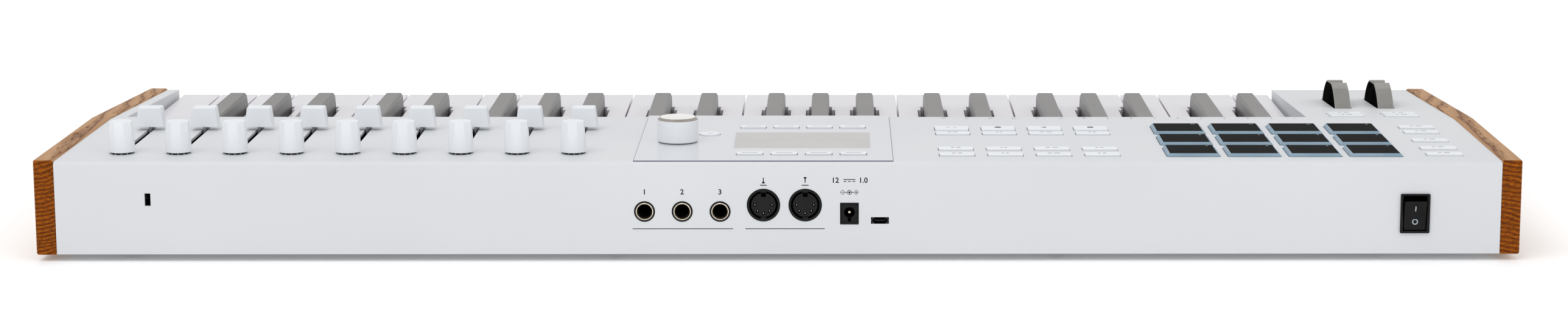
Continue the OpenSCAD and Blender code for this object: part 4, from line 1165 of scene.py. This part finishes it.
def make_prints():
    """Figures and plain symbols; words are left out."""
    # channel figures above the keys, one for each semitone
    last_x, step, lift = -91.8, 13.6, 0.02
    marks = [flat_text(str(k), 2.3, (last_x - step * (16 - k), at(142.2), DECK_Z + lift))
             for k in range(1, 17)]
    printed("channel_figures", INK_GREY, "root", marks)
    # pad figures in the corner nearest the keys, counted from the rear left
    marks = []
    boxes = solids("pads")
    rows = sorted({round(b[0].y, 1) for b in boxes})
    columns = sorted({round(b[0].x, 1) for b in boxes})
    for low, high in boxes:
        rows_behind = len(rows) - 1 - rows.index(round(low.y, 1))
        number = rows_behind * len(columns) + columns.index(round(low.x, 1)) + 1
        marks.append(flat_text(str(number), 2.6, (low.x + FLANGE + 4.6, low.y + FLANGE + 4.2, high.z + lift)))
    printed("pad_figures", INK_PALE, "pads", marks)
    # lines on the display buttons
    marks = []
    for low, high in button_boxes("display_buttons"):
        x, y, _ = midpoint(low, high)
        if high.x - low.x > 12.5:
            marks.append(flat_bar(x, y, high.z + 0.01, 8.6, 0.5))
        else:
            marks.append(flat_bar(x + 0.4, y, high.z - 0.26, 4.2, 0.45))
            marks.append(flat_disc(x - 2.2, y, high.z - 0.24, 1.1, 3, math.radians(30)))
    printed("display_button_lines", INK_GREY, "display_buttons", marks)
    # panel buttons: the row nearest the keys has loop, record, play and stop symbols
    marks = []
    boxes = button_boxes("panel_buttons")
    columns = sorted({round(midpoint(*b).x, 1) for b in boxes}, reverse=True)
    for low, high in boxes:
        x, y, _ = midpoint(low, high)
        z = high.z + 0.01
        column = columns.index(round(x, 1))
        if high.y - low.y > 13:
            y -= 1.5
            if column == 0:
                marks += [flat_bar(x - 2, y, z, 2.2, 0.6), flat_bar(x + 2, y, z, 2.2, 0.6)]
            elif column == 1:
                marks.append(flat_disc(x, y, z, 2.0))
            elif column == 2:
                marks.append(flat_disc(x, y, z, 2.1, 3, math.radians(-90)))
            else:
                marks.append(flat_bar(x, y, z, 3.4, 3.4))
        else:
            w = (2.4, 1.4, 3.0, 1.8)[column]
            marks += dash_pair(x, y - 1.2, z, w, 0.8 * w, 0.95, (0.35, 0.6 + 0.1 * w))
    printed("panel_button_symbols", INK_GREY, "panel_buttons", marks)
    marks = []
    for low, high in button_boxes("side_buttons"):
        x, y, _ = midpoint(low, high)
        if y < at(BEND_T):
            t = REAR_Y - y
            pair = dash_pair(x, y, DECK_Z + SLOPE_BUTTON_RISE + 0.01, 3.2, 1.8, 0.9, (0, 1.5))
            for mark in pair:
                laid_on_slope(mark, t)
            marks += pair
        else:
            marks += dash_pair(x, y - 1.2, high.z + 0.01, 3.2, 1.8, 0.9, (0, 1.5))
    printed("side_button_dashes", INK_GREY, "side_buttons", marks)
    # rear panel: figures over the jacks, arrows over the round sockets, supply symbols
    y = REAR_Y + 0.02
    marks = []
    for k in (1, 2, 3):
        spot = MOUNTS[f"jack_{k}"]
        marks.append(flat_text(str(k), 4.0, (spot.x, y, spot.z + 10.6), "rear", 0.09))
    for name, way in (("midi_in", -1), ("midi_out", 1)):
        spot = MOUNTS[name]
        middle_z = spot.z + 13.6
        marks.append(flat_bar(spot.x, y, middle_z - way * 0.2, 0.5, 2.4, "rear"))
        head = (spot.x, y, middle_z + way * 1.2)
        arrow = drum("arrow", head, 1.1, 0.03, "y", 3)
        arrow.data.transform(turn_about(head, math.radians(90 - 90 * way), "Y"))
        marks.append(arrow)
        marks.append(flat_bar(spot.x, y, spot.z + 10.9, 3.6, 0.45, "rear"))
    spot = MOUNTS["power_inlet"]
    marks += [flat_bar(spot.x, y, spot.z + 18.6, 6.4, 0.4, "rear")]
    marks += [flat_bar(spot.x + s * 2.35, y, spot.z + 17.6, 1.5, 0.4, "rear") for s in (-1, 0, 1)]
    marks += [flat_text("12", 4.0, (spot.x + 7.6, y, spot.z + 18.1), "rear", 0.09),
              flat_text("1.0", 4.0, (spot.x - 7.4, y, spot.z + 18.1), "rear", 0.09)]
    centre = spot.z + 11.6
    for s in (-1, 1):
        marks.append(flat_ring(spot.x + s * 3.6, centre, 1.15, 1.45, 4))
        marks.append(flat_bar(spot.x + s * 1.75, y, centre, 0.9, 0.3, "rear"))
        marks.append(flat_bar(spot.x + s * 3.6, y, centre, 1.1, 0.3, "rear"))
    marks.append(flat_bar(spot.x - 3.6, y, centre, 0.3, 1.1, "rear"))
    marks.append(flat_ring(spot.x, centre, 1.0, 1.3, 32))
    marks.append(drum("dot", (spot.x, y - 0.01, centre), 0.6, 0.03, "y", 24))
    printed("rear_figures", INK_BLACK, "root", marks)
    line_z = CASE_LOW + 13.9
    lines = [flat_bar(x, y, line_z, length, 0.45, "rear") for x, length in ((52.85, 53.9), (-2.05, 42.7))]
    printed("rear_group_lines", INK_GREY, "root", lines)


# ---- studio ----
def make_studio():
    bpy.ops.object.select_all(action="DESELECT")
    bpy.ops.mesh.primitive_plane_add(size=60, location=(0, 0, 0))
    floor = bpy.context.object
    floor.name = "studio_floor"
    # The paper is lit from behind as well, so it stays white up to the feet.
    floor_finish = grained("matt_paper_sweep", ("#FAFAFA", "#FCFCFC"), (0.8, 0.9), 40, 0.001, 900,
                           Emission_Color=(1, 1, 1, 1), Emission_Strength=0.12)
    floor.data.materials.append(floor_finish)
    world = bpy.data.worlds.new("studio_air")
    world.use_nodes = True
    world.node_tree.nodes["Background"].inputs["Color"].default_value = linear("#FAFAFB")
    world.node_tree.nodes["Background"].inputs["Strength"].default_value = 0.78
    bpy.context.scene.world = world
    lamps = [("key_softbox", (0.9, 1.6, 2.6), (2.6, 1.6), 26, (-0.2, 0, 0)),
             ("fill_softbox", (-1.8, 1.9, 1.6), (1.8, 1.8), 9, (0, 0, 0)),
             ("front_softbox", (0.3, -2.4, 2.4), (2.6, 1.4), 12, (0, 0, 0))]
    for name, place, size, power, target in lamps:
        bpy.ops.object.select_all(action="DESELECT")
        bpy.ops.object.light_add(type="AREA", location=place)
        lamp = bpy.context.object
        lamp.name = name
        lamp.data.shape = "RECTANGLE"
        lamp.data.size, lamp.data.size_y = size
        lamp.data.energy = power
        lamp.visible_camera = False
        lamp.rotation_euler = (Vector(target) - Vector(place)).to_track_quat("-Z", "Y").to_euler()
    bpy.context.scene.view_settings.view_transform = "Standard"


def make_camera():
    """Camera behind the instrument, a little above it, looking back over the deck."""
    place = mm(-29.5, 1842.0, 362.4)
    yaw, pitch, roll = math.radians(1.1225), math.radians(10.333), math.radians(0.1946)
    forward = Vector((-math.sin(yaw) * math.cos(pitch), -math.cos(yaw) * math.cos(pitch), -math.sin(pitch)))
    right = forward.cross(Vector((0, 0, 1))).normalized()
    up = right.cross(forward)
    across = right * math.cos(roll) + up * math.sin(roll)
    upright = up * math.cos(roll) - right * math.sin(roll)
    data = bpy.data.cameras.new("studio_camera")
    data.lens, data.sensor_width, data.sensor_fit = 73.705, 36.0, "HORIZONTAL"
    data.shift_x = -0.0727
    data.clip_start, data.clip_end = 0.05, 200
    camera = bpy.data.objects.new("studio_camera", data)
    bpy.context.scene.collection.objects.link(camera)
    turn = Matrix((across, upright, -forward)).transposed().to_4x4()
    camera.matrix_world = Matrix.Translation(place) @ turn
    bpy.context.scene.camera = camera


make_case()
make_cheek("timber_cheek_left", "cheek_left", ASH_LEFT)
make_cheek("timber_cheek_right", "cheek_right", ASH_RIGHT)
make_feet()
make_keys()
make_knobs()
make_faders()
make_dial()
make_pads()
make_buttons()
make_cover()
make_wheels()
make_jacks()
make_round_sockets()
make_power_and_data()
make_switch()
make_prints()
make_studio()
make_camera()
